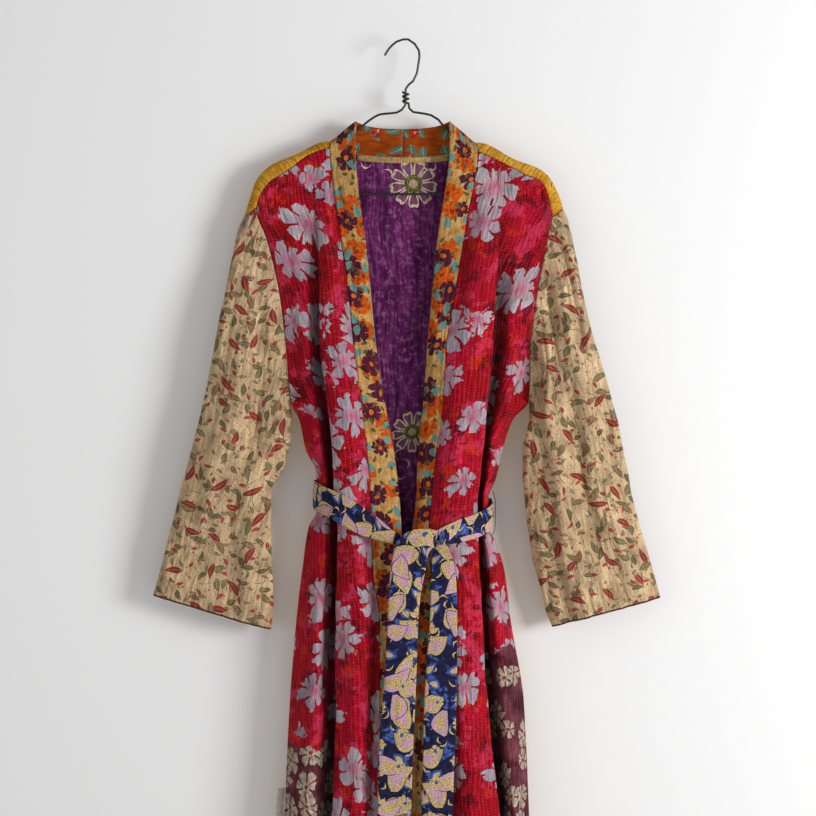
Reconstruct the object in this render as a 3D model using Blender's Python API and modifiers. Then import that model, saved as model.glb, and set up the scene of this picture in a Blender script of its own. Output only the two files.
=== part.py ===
"""A long patchwork robe with a tie belt, hung on a bent wire hanger.

Metres, +Z up. The origin is the inside of the hook's crown, where a pin or a rail carries
the hanger. X runs across the robe and Y from its front to its back, so it is seen from -Y.
"Left" and "right" are as seen from the front. Tables and sizes are in millimetres: x is
measured from the hook's plumb line and "drop" is the distance below the hook's crown.
"""
import math

import bpy
import numpy as np

MM = 0.001

# Driving sizes, in millimetres
CLOTH = 2.2         # quilted cotton in two layers
BAND = 3.0          # neckband, folded once more
BAND_ROLL = 4.0     # how far its middle rolls forward on the fronts
TAPE = 1.0
TRIM_GAP = 0.4      # between a trim and the cloth that it lies on
BELT = 2.4
THREAD = 1.0
WIRE = 3.2          # hanger wire, diameter
GAP = 0.8           # between two pieces at a seam
NECK_GAP = 1.2      # between the back and the neckband
SHARPEST = 0.9      # least sum of the two unit directions at a seam's corner
HALF = CLOTH / 2
ARMPIT = 503.0      # drop of the armpits
HEM = 1364.0        # drop of the hem
LAP_BACK = 16.0     # drop in which the back turns over the shoulder
RUN = 5.0           # straight run of a panel beside a seam
SLEEVE_RUN = 2.5    # the same for a sleeve
NECK_TURN = (88.0, 104.0)   # from the middle: where the back's top rises to a shoulder
PLEAT_FROM = 9.0    # lap at which a pleat of the back is wholly folded

# Rows of each grid
FRONT_ARM_ROWS = 8
LAP_ROWS = 3
BACK_ARM_ROWS = 6
BODY_DROPS = (517, 538, 570, 606, 632, 658, 684, 706, 748, 810, 900, 1010, 1130, 1250, HEM)

# Where along the section each column lies, counted in stations
FRONT_COLUMNS = (0, 1, 1.5, 2, 2.35, 2.7, 3, 3.3, 3.65, 4, 4.4, 4.8, 5.3, 6, 6.35, 6.7, 7, 7.5, 8)
SHOULDER_COLUMNS = (0, 1, 1.3, 1.6, 2, 2.3, 2.6, 3, 3.33, 3.67, 4, 5, 6, 7, 8, 9, 9.5, 10)
NECK_COLUMNS = (10.12, 10.26, 10.45, 10.7, 11, 11.5, 12, 12.5, 13, 13.3, 13.55, 13.74, 13.88)
BACK_COLUMNS = SHOULDER_COLUMNS + NECK_COLUMNS + tuple(24 - t for t in SHOULDER_COLUMNS[::-1])
NECK_LEFT = len(SHOULDER_COLUMNS) - 1
NECK_RIGHT = len(BACK_COLUMNS) - len(SHOULDER_COLUMNS)


def table(text):
    """Columns of numbers by name, from lines under one line of names."""
    lines = [line.split() for line in text.strip().splitlines()]
    values = np.array([[float(word) for word in line] for line in lines[1:]])
    return dict(zip(lines[0], values.T))


# Each front, level by level: the neckband seam, the edge of its deep fold, its side
FRONT_LEFT = table("""
drop   seam   fold   side
 111   -104   -122   -204
 153   -102   -121   -204
 209    -97   -117   -204
 240    -92   -115   -203
 279    -86   -113   -189
 363    -75   -113   -170
 433    -68   -112   -162
 503    -58   -104   -156
 531    -55   -101   -143
 573    -50    -98   -134
 606    -47    -95   -119
 658    -44    -92   -119
 682    -43    -88   -130
 741    -41    -88  -139
 811    -32    -90  -147
 923    -32    -92  -156
1086    -32    -97  -164
1364    -34   -104  -176
""")
FRONT_RIGHT = table("""
drop   seam   fold   side
 111    106    134    208
 153    106    133    209
 209     99    131    209
 240     92    130    209
 279     86    129    202
 363     72    128    186
 433     61    126    178
 503     57    117    176
 531     55    114    153
 573     48    110    139
 612     44    106    130
 642     41    103    119
 682     37    103    119
 700     38    104    128
 741     41    106    141
 811     50    109    150
 923     54    118    168
1086     57    134    176
1364     61    145    186
""")
# Depths of both fronts. The inner lobe, beside the neckband, stands proud; its edge laps
# over the outer lobe, which passes behind it one step deeper and then runs out to the side.
FRONT_DEPTH = table("""
drop   seam  crest  fold  step  lap  outer  side
 111     -9     -9    -9     0    0     -9    -9
 180     -9    -10    -9     0    0     -9    -9
 240    -12    -19   -15     2    0    -13    -9
 300    -18    -30   -23     6    4    -19    -9
 363    -25    -38   -29     9    8    -22    -9
 433    -31    -44   -33    12   12    -24    -8
 503    -36    -50   -37    14   16    -25    -6
 531    -38    -52   -38    15   18    -27     0
 573    -40    -54   -40    16   22    -28     0
 650    -42    -55   -41    17   28    -27     0
 686    -42    -55   -41    17   28    -28     0
 741    -42    -57   -42    17   24    -34     0
 811    -40    -60   -44    16   20    -39     0
 923    -36    -63   -45    16   16    -43     0
1086    -33    -66   -46    16   14    -47     0
1364    -31    -72   -50    18   14    -54     0
""")
# The back: depth at its middle, at its outer pleat layer, and the pleats' lap
BACK_DEPTH = table("""
drop  middle  outer  step  lap  side
 111       8      8     0    0     7
 209       8      9     2    0     7
 279       8     13     7    1     6
 363       7     16    11   12     6
 503       6     17    13   20     5
 531       6     17    13   22     0
 573       6     17    13   24     0
 650       6     17    13   28     0
 741       6     17    13   26     0
 923       6     18    13   20     0
1364       5     18    13   16     0
""")
# The back's armholes, above the armpits
BACK_ARM = table("""
drop   left  right
 111   -223    224
 238   -223    224
 258   -219    217
 275   -206    207
 300   -190    197
 363   -172    186
 433   -163    178
 503   -156    176
""")
# The top of the robe from the left shoulder's end over the back neck to the right one's
TOP_LINE = table("""
   x   drop
-224    258
-212    218
-204    195
-195    184
-183    174
-148    159
-106  141.5
 -99    142
 -84    151
 -66    157
 -30    161
   0    162
  35    161
  66    158
  86    152
  99    145
 106    143
 158    167
 190    179
 204    190
 212    203
 222    227
 225    239
""")
# The lower edges of the shoulder strips, where the fronts begin
STRIP_LEFT = table("""
   x   drop
-205    247
-202    226
-194    209
-185    198
-174    191
-157    180
-131    161
-102    150
""")
STRIP_RIGHT = table("""
   x   drop
 106    156
 148    176
 173    189
 190    196
 199    206
 204    222
 209    250
""")
# The neckband's free edge along a front: its place at each drop of the seam, and how far
# it has run ahead of the seam, upwards, where the band turns over the shoulder
BAND_LEFT = table("""
drop   free  depth  ahead
 141    -65     -1     27
 150    -65     -9     24
 180    -65    -14     10
 209    -62    -15      3
 279    -52    -15      0
 363    -44    -16      0
 433    -37    -17      0
 503    -26    -18      0
 573    -13    -20      0
 650     -4    -24      0
 686     -2    -28      0
 741      0    -27      0
 811      5    -24      0
 923      6    -20      0
1086      6    -18      0
1364      5    -16      0
""")
BAND_RIGHT = table("""
drop   free  depth  ahead
 143     65     -1     29
 156     66     -9     26
 180     65     -14    12
 209     60     -15      3
 279     49     -15      0
 363     41     -16      0
 433     35     -17      0
 503     30     -18      0
 573     23     -20      0
 650     19     -24      0
 686     14     -28      0
 741     12     -27      0
 811     11     -24      0
 923     12     -20      0
1086     12     -18      0
1364     12     -16      0
""")
# The band's free edge round the back neck, from the middle (0) to the shoulder's top (1)
BAND_NECK = table("""
part   free  depth   drop
   0      0     12    123
 0.3    -26     12    122
 0.6    -48      9    119
 0.8    -59      5    116
   1    -65     -1    114
""")
# Each sleeve, ring by ring below the armhole: outer edge, underarm edge, and how far the
# cloth stands forward and back of the hanger's plane
SLEEVE_LEFT = table("""
outer  outer_drop  under  under_drop  front  back
 -238         305   -158         532     19     8
 -247         352   -159         553     25     9
 -260         425   -164         582     30    11
 -275         500   -175         607     32    12
 -292         565   -186         635     32    12
 -308         625   -187         678     29    12
 -324         688   -185         722     25    11
 -338         742   -183         770     20    10
 -348         777   -188         824     15     9
""")
SLEEVE_RIGHT = table("""
outer  outer_drop  under  under_drop  front  back
  241         300    178         526     19     8
  251         352    173         550     25     9
  263         405    167         574     30    11
  279         465    168         604     32    12
  297         540    174         645     32    12
  313         610    178         688     29    12
  329         675    185         728     25    11
  345         727    196         768     20    10
  360         780    212         820     15     9
""")
# Long folds in the sleeves: where across the front face, and their depth and width as
# shares of the face, with the first and last ring that they reach
SLEEVE_FOLDS_LEFT = table("""
at    depth  width  first  last
0.34      4   0.10      0     5
0.62     -4   0.10      1     8
0.80      3   0.08      3     9
""")
SLEEVE_FOLDS_RIGHT = table("""
at    depth  width  first  last
0.42     -5   0.09      0     6
0.66      5   0.11      0     9
0.22      3   0.08      3     9
""")
# The belt's bunched length round the waist, from the knot's left side round the back to
# its right side: its middle line and its width
WRAP = table("""
     x  depth  drop  width
    -5    -66   696     13
   -20    -65   689     19
   -40    -63   679     30
   -62  -59.5   667     36
   -80    -55   656     37
   -96    -47   648     37
  -110    -36   642     37
-119.5    -20   637     37
-122.7     -3   635     37
  -121     11   634     37
  -109   19.8   634     38
   -70   20.7   636     40
     0   20.7   642     40
    70   20.7   650     40
   108   19.8   656     38
   121   11.5   660     36
 124.5     -3   664     35
   122    -20   668     34
   114    -36   672     33
    99  -48.8   678     32
    82  -56.3   683     31
    66  -59.5   688     27
    50    -64   692     20
""")
# The knot's arch and the left tail, rung by rung: the inner and the outer edge
KNOT = table("""
inner  inner_drop  outer  outer_drop  depth
   46         705     48         683  -66.3
   42         706     34         680    -71
   39         708     17         681    -74
   37         711      4         686    -75
   35         716     -5         694    -74
   34         724    -11         707    -72
   31         740    -15         728    -70
   26         764    -18         760    -68
   22         800    -20         800    -68
   20         860    -23         860    -70
   17         930    -28         930    -72
   14        1000    -33        1000    -72
   12        1080    -34        1080    -72
   11        1160    -35        1160    -72
   10        1246    -36        1246    -72
""")
# The right tail, from behind the belt's right side
TAIL = table("""
left   left_drop  right  right_drop  depth
  44         690     56         687  -56.9
  42         708     62         704  -57.9
  40         730     70         728    -64
  39         760     74         758    -68
  38         800     75         800    -69
  34         850     75         850    -70
  30         920     74         920    -71
  28        1000     71        1000    -72
  26        1090     68        1090    -73
  24        1170     66        1170    -73
  23        1250     65        1250    -73
""")
# The belt's loop, a cord at the right side seam that passes outside the belt
LOOP = table("""
    x  depth  drop
126.6     -3   631
128.2     -3   637
129.7     -3   644
130.0     -3   664
129.3     -3   683
127.6     -3   689
126.0     -3   692.5
""")
# A bare tab in the left side seam: its edge at the seam and its outer edge
TAB = table("""
drop  seam  seam_depth  outer  outer_depth
1046  -165          -1   -174          -7
1062  -166          -1   -176          -8
1079  -167          -1   -177          -8
1096  -167          -2   -177         -10
""")
HOOK = table("""
   x   drop
 -25   20.9
 -18   10.2
  -8    1.4
   1   -1.7
   8   -1.7
  17    4.6
  23   14.0
23.8   21.4
  22   33.9
  20   46.0
  15   56.5
 8.5   62.0
 4.6   67.5
 4.5   82.0
""")
# From the neck's foot to the collar; beyond it the arms follow the shoulders
ARM_LEFT = table("""
   x   drop
   4   90.0
  -1   97.0
  -8  100.8
 -18  102.0
 -32  103.5
 -44  110.0
 -56  119.5
 -66  129.0
 -78  138.5
 -88  145.0
 -97  148.6
""")
ARM_RIGHT = table("""
   x   drop
  98  150.4
  88  146.0
  78  139.0
  67  129.0
  57  119.0
  50  110.5
  40  104.5
  25  101.5
  15  100.0
 9.5   95.0
""")
ARM_FROM = 108.0     # from the middle to where an arm lies wholly under a shoulder
ARM_REACH = 178.0    # and to where it bends back
ARM_END = 192.0
ARM_UNDER = 5.4      # from the middle of the cloth down to the middle of the wire
BAR_DROP = 215.0
TWIST_TURNS = 2.5
TWIST_TOP = 72.0
TWIST_FOOT = 88.0

COLOURS = {
    "back": (0.72, 0.47, 0.05),
    "front": (0.62, 0.02, 0.07),
    "sleeve": (0.68, 0.56, 0.40),
    "neckband": (0.70, 0.45, 0.20),
    "tape": (0.78, 0.68, 0.45),
    "belt": (0.10, 0.14, 0.42),
    "loop": (0.25, 0.02, 0.06),
    "tab": (0.85, 0.82, 0.76),
    "wire": (0.02, 0.02, 0.02),
}


def curve(xs, ys, x):
    """y at x on a smooth curve through a table's points that never overshoots them."""
    steps = np.diff(xs)
    rises = np.diff(ys) / steps
    before, after = rises[:-1], rises[1:]
    wide, narrow = 2 * steps[1:] + steps[:-1], steps[1:] + 2 * steps[:-1]
    same = before * after > 0
    safe = np.where(same, before, 1), np.where(same, after, 1)
    inner = np.where(same, (wide + narrow) / (wide / safe[0] + narrow / safe[1]), 0)
    slopes = np.concatenate([rises[:1], inner, rises[-1:]])
    x = np.clip(x, xs[0], xs[-1])
    i = np.clip(np.searchsorted(xs, x, side="right") - 1, 0, len(steps) - 1)
    h, t = steps[i], (x - xs[i]) / steps[i]
    return (
        ys[i] * (1 + 2 * t) * (1 - t) ** 2
        + ys[i + 1] * t * t * (3 - 2 * t)
        + h * slopes[i] * t * (1 - t) ** 2
        - h * slopes[i + 1] * t * t * (1 - t)
    )


def column(rows, name, drop):
    """A named column of a table at any drop."""
    return curve(rows["drop"], rows[name], drop)


def through(stations, t, first=None, last=None):
    """The point t on the curve through the stations, a list of (x, y) pairs of arrays.

    Each stretch is a cubic. Its slope at a station is the centripetal Catmull-Rom one, and
    first and last are the directions at the two ends, where they are given.
    """
    p = np.array([np.broadcast_arrays(*station, t)[:2] for station in stations])
    gaps = np.sqrt(np.maximum(np.linalg.norm(np.diff(p, axis=0), axis=1), 1e-6))[:, None]
    rises = np.diff(p, axis=0) / gaps
    inner = rises[:-1] + rises[1:] - (p[2:] - p[:-2]) / (gaps[:-1] + gaps[1:])
    ends = [rises[0], rises[-1]]
    for k, way in enumerate((first, last)):
        if way is not None:
            ends[k] = np.array(way) * np.linalg.norm(ends[k], axis=0)
    slopes = np.concatenate([ends[:1], inner, ends[1:]])
    span = np.clip(np.floor(t), 0, len(stations) - 2)
    found = np.zeros(p.shape[1:])
    for i in range(len(stations) - 1):
        f = t - i
        here = (
            p[i] * (1 + 2 * f) * (1 - f) ** 2
            + p[i + 1] * f * f * (3 - 2 * f)
            + gaps[i] * slopes[i] * f * (1 - f) ** 2
            - gaps[i] * slopes[i + 1] * f * f * (1 - f)
        )
        found = np.where(span == i, here, found)
    return found


def side_turn(drop):
    """0 where a panel's side meets a sleeve, 1 where it turns to meet the other panel."""
    return np.clip((drop - ARMPIT) / (BODY_DROPS[0] - ARMPIT), 0, 1)


def front_section(rows, band, out, t, drop):
    """(x, y) of a front panel at station t of its section at a drop; out is -1 or +1.

    Its first and last RUN are straight, in line with the neckband and with what it meets
    at its side.
    """
    seam, fold, side = (column(rows, name, drop) for name in ("seam", "fold", "side"))
    depth = {name: column(FRONT_DEPTH, name, drop) for name in FRONT_DEPTH if name != "drop"}
    lap, under = depth["lap"], depth["fold"] + depth["step"]
    behind = fold + out * 8
    to_band = column(band, "free", drop) - seam, column(band, "depth", drop) - depth["seam"]
    length = np.hypot(*to_band)
    to_band = to_band[0] / length, to_band[1] / length
    turn = side_turn(drop) * math.pi / 2
    to_side = out * np.cos(turn), np.sin(turn)
    edge = depth["side"] - GAP / 2
    stations = [
        (seam, depth["seam"]),
        (seam - RUN * to_band[0], depth["seam"] - RUN * to_band[1]),
        (seam + 0.45 * (fold - seam), depth["crest"]),
        (fold, depth["fold"]),
        (fold + out * (5 - lap), depth["fold"] + depth["step"] * 0.5),
        (behind, under),
        (behind + 0.42 * (side - behind), depth["outer"]),
        (side - RUN * to_side[0], edge - RUN * to_side[1]),
        (side, edge),
    ]
    return through(stations, t, first=(-to_band[0], -to_band[1]), last=to_side)


def back_section(t, drop):
    """(x, y) of the back at station t of its section at a drop, from left to right."""
    above = drop < ARMPIT
    left = np.where(above, column(BACK_ARM, "left", drop), column(FRONT_LEFT, "side", drop))
    right = np.where(above, column(BACK_ARM, "right", drop), column(FRONT_RIGHT, "side", drop))
    depth = {name: column(BACK_DEPTH, name, drop) for name in BACK_DEPTH if name != "drop"}
    middle, half = (left + right) / 2, (right - left) / 2
    outer, step, lap = depth["outer"], depth["step"], depth["lap"]
    turn = side_turn(drop) * math.pi / 2
    rim = depth["side"] + GAP / 2

    folded = np.clip(lap / PLEAT_FROM, 0, 1)
    folded = folded * folded * (3 - 2 * folded)
    radius = step / 4

    def pleat(way):
        edge = middle + way * half * 0.50
        tuck = edge + way * np.maximum(lap, PLEAT_FROM)
        laid = [
            (edge + way * radius, outer), (edge, outer - radius),
            (edge + way * radius, outer - 2 * radius),
            (tuck - way * radius, outer - 2 * radius), (tuck, outer - 3 * radius),
            (tuck - way * radius, outer - step), (edge - way * 7, outer - step),
        ]
        flat = [(edge - way * 3 * k, outer - step * (k + 3) / 6) for k in range(-3, 4)]
        fold = [
            tuple(a + folded * (b - a) for a, b in zip(open_point, laid_point))
            for open_point, laid_point in zip(flat, laid)
        ]
        return [
            (middle + way * half, rim),
            (middle + way * (half - RUN * np.cos(turn)), rim + RUN * np.sin(turn)),
            (middle + way * half * 0.90, outer * 0.75),
            (middle + way * half * 0.70, outer),
            *fold,
            (middle + way * half * 0.22, depth["middle"] + 3),
        ]

    stations = pleat(-1) + [(middle, depth["middle"])] + pleat(1)[::-1]
    return through(
        stations, t, first=(np.cos(turn), np.sin(turn)), last=(np.cos(turn), -np.sin(turn))
    )


def grid(x, y, drop):
    """Points, row by row, from arrays of places across, depths and drops."""
    return np.stack(np.broadcast_arrays(x, y, -drop), axis=-1)


def front_grid(rows, strip, band, out):
    """A front panel: rows down from the shoulder strip, columns out from the neckband."""
    t = np.array(FRONT_COLUMNS)
    top = np.full(len(t), 180.0)
    for _ in range(8):
        x, _y = front_section(rows, band, out, t, top)
        top = curve(strip["x"], strip["drop"], x) + GAP
    part = np.linspace(0, 1, FRONT_ARM_ROWS + 1)[:, None]
    drop = np.vstack([top + (ARMPIT - top) * part, np.tile(BODY_DROPS, (len(t), 1)).T])
    x, y = front_section(rows, band, out, t[None, :], drop)
    return grid(x, y, drop)


def back_grid(fronts):
    """The back, whose top rows lap over the shoulders to the fronts' top edges.

    The quarter turn over a shoulder is an ellipse: depth follows the sine of the angle,
    and the way down and across follows one minus its cosine.
    """
    t = np.array(BACK_COLUMNS)
    top = np.full(len(t), 160.0)
    for _ in range(8):
        x, _y = back_section(t, top)
        top = curve(TOP_LINE["x"], TOP_LINE["drop"], x) + HALF
    rounding = 1 - np.cos(np.linspace(0, math.pi / 2, 4))[:, None]
    first = top + LAP_BACK * rounding
    part = np.linspace(0, 1, BACK_ARM_ROWS + 1)[1:, None]
    drop = np.vstack([
        first, first[-1] + (ARMPIT - first[-1]) * part, np.tile(BODY_DROPS, (len(t), 1)).T
    ])
    x, y = back_section(t[None, :], drop)
    over = np.sqrt(1 - (1 - np.clip((drop - top) / LAP_BACK, 0, 1)) ** 2)
    near, far = NECK_TURN
    shoulder = np.clip((np.abs(x[0]) - near) / (far - near), 0, 1)
    points = grid(x, y * (1 - shoulder * (1 - over)), drop)

    crest = points[0]
    foot = crest.copy()
    foot[: NECK_LEFT + 1] = beside(matched(fronts[0][0, ::-1], crest[: NECK_LEFT + 1]))
    foot[NECK_RIGHT:] = beside(matched(fronts[1][0], crest[NECK_RIGHT:]))
    angle = np.linspace(math.pi / 2, 0, LAP_ROWS + 1)[:-1, None]
    share = np.stack([1 - np.cos(angle), np.sin(angle), 1 - np.cos(angle)], axis=-1)
    return np.concatenate([crest + (foot - crest) * share, points])


def matched(edge, guide):
    """Points on an edge at the same shares of its length as the guide's points."""
    shares = []
    for line in (edge, guide):
        steps = np.linalg.norm(np.diff(line, axis=0), axis=1)
        shares.append(np.concatenate([[0], np.cumsum(steps)]) / steps.sum())
    return np.stack([np.interp(shares[1], shares[0], values) for values in edge.T], axis=-1)


def beside(edge):
    """An edge that runs towards +X, moved up by the seam's gap, square to itself."""
    along = np.gradient(edge, axis=0)
    square = np.stack([-along[:, 2], 0 * along[:, 0], along[:, 0]], axis=-1)
    return edge + GAP * square / np.linalg.norm(square, axis=-1, keepdims=True)


def leaving(places, inside, closed=False):
    """How a sheet is left at its edge: steps away from inside, square to the edge.

    A step is 1 long, and longer at a corner, so that a moved edge stays as far from both
    of the corner's sides.
    """
    before = places - np.roll(places, 1, axis=0)
    after = np.roll(places, -1, axis=0) - places
    if not closed:
        before[0], after[-1] = after[0], before[-1]
    before, after = (part / np.linalg.norm(part, axis=-1, keepdims=True) for part in (before, after))
    along = before + after
    length = np.linalg.norm(along, axis=-1, keepdims=True)
    along /= length
    way = places - inside
    way -= along * np.sum(way * along, axis=-1, keepdims=True)
    return way / np.linalg.norm(way, axis=-1, keepdims=True) * 2 / np.maximum(length, SHARPEST)


def sleeve_grid(front, back, rows, folds, side):
    """A sleeve: rings of points from the armhole to the cuff.

    The first two rings are the panels' own armhole edges, moved out by the seam's gap and
    a little more. The others are flattened loops between the outer and underarm edges.
    """
    edge, inside = (0, 1) if side < 0 else (-1, -2)
    crest, bottom = LAP_ROWS, LAP_ROWS + 3 + BACK_ARM_ROWS
    over = back[1 : crest + 1][::-1]
    seam = front[: FRONT_ARM_ROWS + 1, ::-1] if side < 0 else front[: FRONT_ARM_ROWS + 1]
    behind = back[crest + 1 : bottom + 1][::-1]
    places, from_inside = (
        np.concatenate([part[:, k] for part in (over, seam, behind)]) for k in (edge, inside)
    )
    ways = leaving(places, from_inside, closed=True)
    rings = [places + ways * space for space in (GAP, GAP + SLEEVE_RUN)]

    fore = len(over) + len(seam) - 1
    count = len(places)
    angle = np.concatenate([
        np.linspace(0, math.pi, fore + 1), np.linspace(math.pi, 2 * math.pi, count - fore + 1)[1:-1]
    ])
    across = (1 - np.cos(angle)) / 2
    forward = np.where(angle <= math.pi, 1, 0)
    for k in range(len(rows["outer"])):
        ring = {name: rows[name][k] for name in rows}
        x = ring["outer"] + (ring["under"] - ring["outer"]) * across
        drop = ring["outer_drop"] + (ring["under_drop"] - ring["outer_drop"]) * across
        bulge = np.abs(np.sin(angle)) ** 0.7
        y = np.where(forward, -ring["front"], ring["back"]) * bulge
        for at, depth, width, first, last in zip(*folds.values()):
            if first <= k <= last:
                y = y - forward * bulge * depth * np.exp(-(((across - at) / width) ** 2))
        rings.append(grid(x, y, drop))
    return np.array(rings)


def band_grid(front, back, rows, side):
    """Half of the neckband: rungs from the back neck's middle over the shoulder to the hem.

    A rung runs from the seam, which is the panels' own edge moved on by the gap, first in
    line with the panel and then to the band's free edge.
    """
    crest = back[LAP_ROWS]
    neck, middle = (NECK_LEFT if side < 0 else NECK_RIGHT), len(BACK_COLUMNS) // 2
    order = list(range(middle, neck - side, side))
    order += [neck] * (order[-1] != neck)
    part = np.abs(crest[order, 0] / crest[neck, 0])
    over = back[1:LAP_ROWS][::-1]
    seam = np.concatenate([crest[order], over[:, neck], front[:, 0]])
    inside = np.concatenate([back[LAP_ROWS + 1, order], over[:, neck + side], front[:, 1]])
    ways = leaving(seam, inside)
    ways[len(order) - 1] = (-side * 0.85, -0.3, 0.42)
    seam[0, 0] = side * GAP / 2
    free = [np.stack([
        side * np.maximum(GAP / 2, -curve(BAND_NECK["part"], BAND_NECK["free"], part)),
        curve(BAND_NECK["part"], BAND_NECK["depth"], part),
        -curve(BAND_NECK["part"], BAND_NECK["drop"], part),
    ], axis=-1)]
    drop = -seam[len(order):, 2]
    ahead = column(rows, "ahead", drop)
    free.append(grid(column(rows, "free", drop), column(rows, "depth", drop), drop - ahead))
    free = np.concatenate(free)
    space = np.where(np.arange(len(seam)) < len(order), NECK_GAP, GAP)[:, None]
    start, run = seam + space * ways, seam + (space + RUN) * ways
    middle = run * 0.5 + free * 0.5
    middle[:, 1] -= BAND_ROLL * np.clip((-middle[:, 2] - 170) / 150, 0, 1)
    return np.stack([start, run, middle, free], axis=1)


def rungs(first, second, bow):
    """A strip between two edges, bowed forward in its middle."""
    across = np.linspace(0, 1, 4)[None, :, None]
    points = first[:, None] * (1 - across) + second[:, None] * across
    points[..., 1] -= bow * np.sin(math.pi * across[..., 0])
    return points


def thicker(points, rows_between):
    """The same strip with more rungs, on smooth curves through the given ones."""
    count = len(points)
    fine = np.linspace(0, count - 1, (count - 1) * rows_between + 1)
    marks = np.arange(count, dtype=float)
    flat = points.reshape(count, -1)
    return np.stack([curve(marks, c, fine) for c in flat.T], axis=-1).reshape(-1, *points.shape[1:])


def wrap_grid():
    """The belt's length round the waist: a strip on edge that follows the middle line."""
    line = np.stack([WRAP["x"], WRAP["depth"], -WRAP["drop"]], axis=-1)
    way = np.gradient(line, axis=0)
    way /= np.linalg.norm(way, axis=1, keepdims=True)
    outward = np.cross(way, (0, 0, 1))
    upward = np.cross(outward, way)
    upward /= np.linalg.norm(upward, axis=1, keepdims=True)
    reach = upward * WRAP["width"][:, None] / 2
    points = rungs(line + reach, line - reach, 0)
    bow = np.sin(math.pi * np.linspace(0, 1, 4))[None, :, None]
    outward /= np.linalg.norm(outward, axis=1, keepdims=True)
    return thicker(points - 1.5 * bow * outward[:, None] * np.sign(outward[:1, 1:2]), 2)


def arm_route(side, crest):
    """The wire along one shoulder and round its end, square below the back's top line."""
    x, drop = crest[:, 0], -crest[:, 2]
    along = side * np.linspace(ARM_FROM, ARM_REACH, 7)
    slope = (np.interp(along + 1, x, drop) - np.interp(along - 1, x, drop)) / 2
    square = ARM_UNDER / np.sqrt(1 + slope * slope)
    arm = list(zip(along - slope * square, np.interp(along, x, drop) + square))
    _x, end = arm[-1]
    return arm + [
        (side * 186, end + 6.5), (side * ARM_END, end + 16), (side * 191, BAR_DROP - 11),
        (side * 184, BAR_DROP - 2.5), (side * 172, BAR_DROP),
    ]


def hanger_route(crest):
    """The wire's middle line: hook, neck, left arm, bar, right arm and the twist."""
    flat = list(zip(HOOK["x"], HOOK["drop"])) + list(zip(ARM_LEFT["x"], ARM_LEFT["drop"]))
    flat += arm_route(-1, crest) + arm_route(1, crest)[::-1]
    flat += list(zip(ARM_RIGHT["x"], ARM_RIGHT["drop"]))
    route = smooth(np.array([(x, 0, -drop) for x, drop in flat]), 8)
    radius = WIRE + GAP
    turns = np.linspace(0, TWIST_TURNS * 2 * math.pi, int(TWIST_TURNS * 10) + 1)
    helix = np.stack([
        4.5 + radius * np.cos(turns), radius * np.sin(turns),
        -TWIST_FOOT + (TWIST_FOOT - TWIST_TOP) * turns / turns[-1],
    ], axis=-1)
    return np.concatenate([route, helix])


def smooth(points, spacing):
    """Points about a spacing apart on the centripetal curve through the given ones."""
    gaps = np.sqrt(np.linalg.norm(np.diff(points, axis=0), axis=1))[:, None]
    rises = np.diff(points, axis=0) / gaps
    inner = rises[:-1] + rises[1:] - (points[2:] - points[:-2]) / (gaps[:-1] + gaps[1:])
    slopes = np.concatenate([rises[:1], inner, rises[-1:]])
    found = [points[:1]]
    for i, gap in enumerate(gaps):
        chord = np.linalg.norm(points[i + 1] - points[i])
        steps = 1 if chord > 60 else max(1, round(chord / spacing))
        f = np.linspace(0, 1, steps + 1)[1:, None]
        found.append(
            points[i] * (1 + 2 * f) * (1 - f) ** 2
            + points[i + 1] * f * f * (3 - 2 * f)
            + gap * slopes[i] * f * (1 - f) ** 2
            - gap * slopes[i + 1] * f * f * (1 - f)
        )
    return np.concatenate(found)


def material(name, metallic=0.0, roughness=0.85):
    found = bpy.data.materials.get(name)
    if found is None:
        found = bpy.data.materials.new(name)
        found.use_nodes = True
        shader = found.node_tree.nodes["Principled BSDF"]
        shader.inputs["Base Color"].default_value = (*COLOURS[name], 1)
        shader.inputs["Roughness"].default_value = roughness
        shader.inputs["Metallic"].default_value = metallic
        found.diffuse_color = (*COLOURS[name], 1)
    return found


def cloth(name, points, thickness, colour, closed=False, keep=None):
    """A sheet of cloth through a grid of points, with its thickness on both sides of it.

    closed joins the last column to the first. keep says which of the grid's cells exist.
    """
    rows, columns = points.shape[:2]
    number = np.arange(rows * columns).reshape(rows, columns)
    if closed:
        number = np.concatenate([number, number[:, :1]], axis=1)
    faces = np.stack([number[:-1, :-1], number[1:, :-1], number[1:, 1:], number[:-1, 1:]], axis=-1)
    faces = faces[keep] if keep is not None else faces.reshape(-1, 4)
    used, renumbered = np.unique(faces, return_inverse=True)
    mesh = bpy.data.meshes.new(name)
    mesh.from_pydata(
        (points.reshape(-1, 3)[used] * MM).tolist(), [], renumbered.reshape(-1, 4).tolist()
    )
    mesh.shade_smooth()
    mesh.materials.append(material(colour))
    made = bpy.data.objects.new(name, mesh)
    parts.objects.link(made)
    wall = made.modifiers.new("wall", "SOLIDIFY")
    wall.thickness = thickness * MM
    wall.offset = 0
    return made


def wire(name, points, diameter, colour, metallic=0.0, roughness=0.4):
    """A round wire along a list of points, with closed ends."""
    data = bpy.data.curves.new(name, "CURVE")
    data.dimensions = "3D"
    data.bevel_depth = diameter / 2 * MM
    data.bevel_resolution = 2
    data.use_fill_caps = True
    line = data.splines.new("POLY")
    line.points.add(len(points) - 1)
    for point, place in zip(line.points, points):
        point.co = (*(place * MM), 1)
    data.materials.append(material(colour, metallic, roughness))
    made = bpy.data.objects.new(name, data)
    parts.objects.link(made)
    return made


def back_cells(back):
    """The back's cells: all of them below its top line, and above it only the shoulders'."""
    keep = np.ones((back.shape[0] - 1, back.shape[1] - 1), bool)
    keep[:LAP_ROWS, NECK_LEFT:NECK_RIGHT] = False
    return keep


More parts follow.
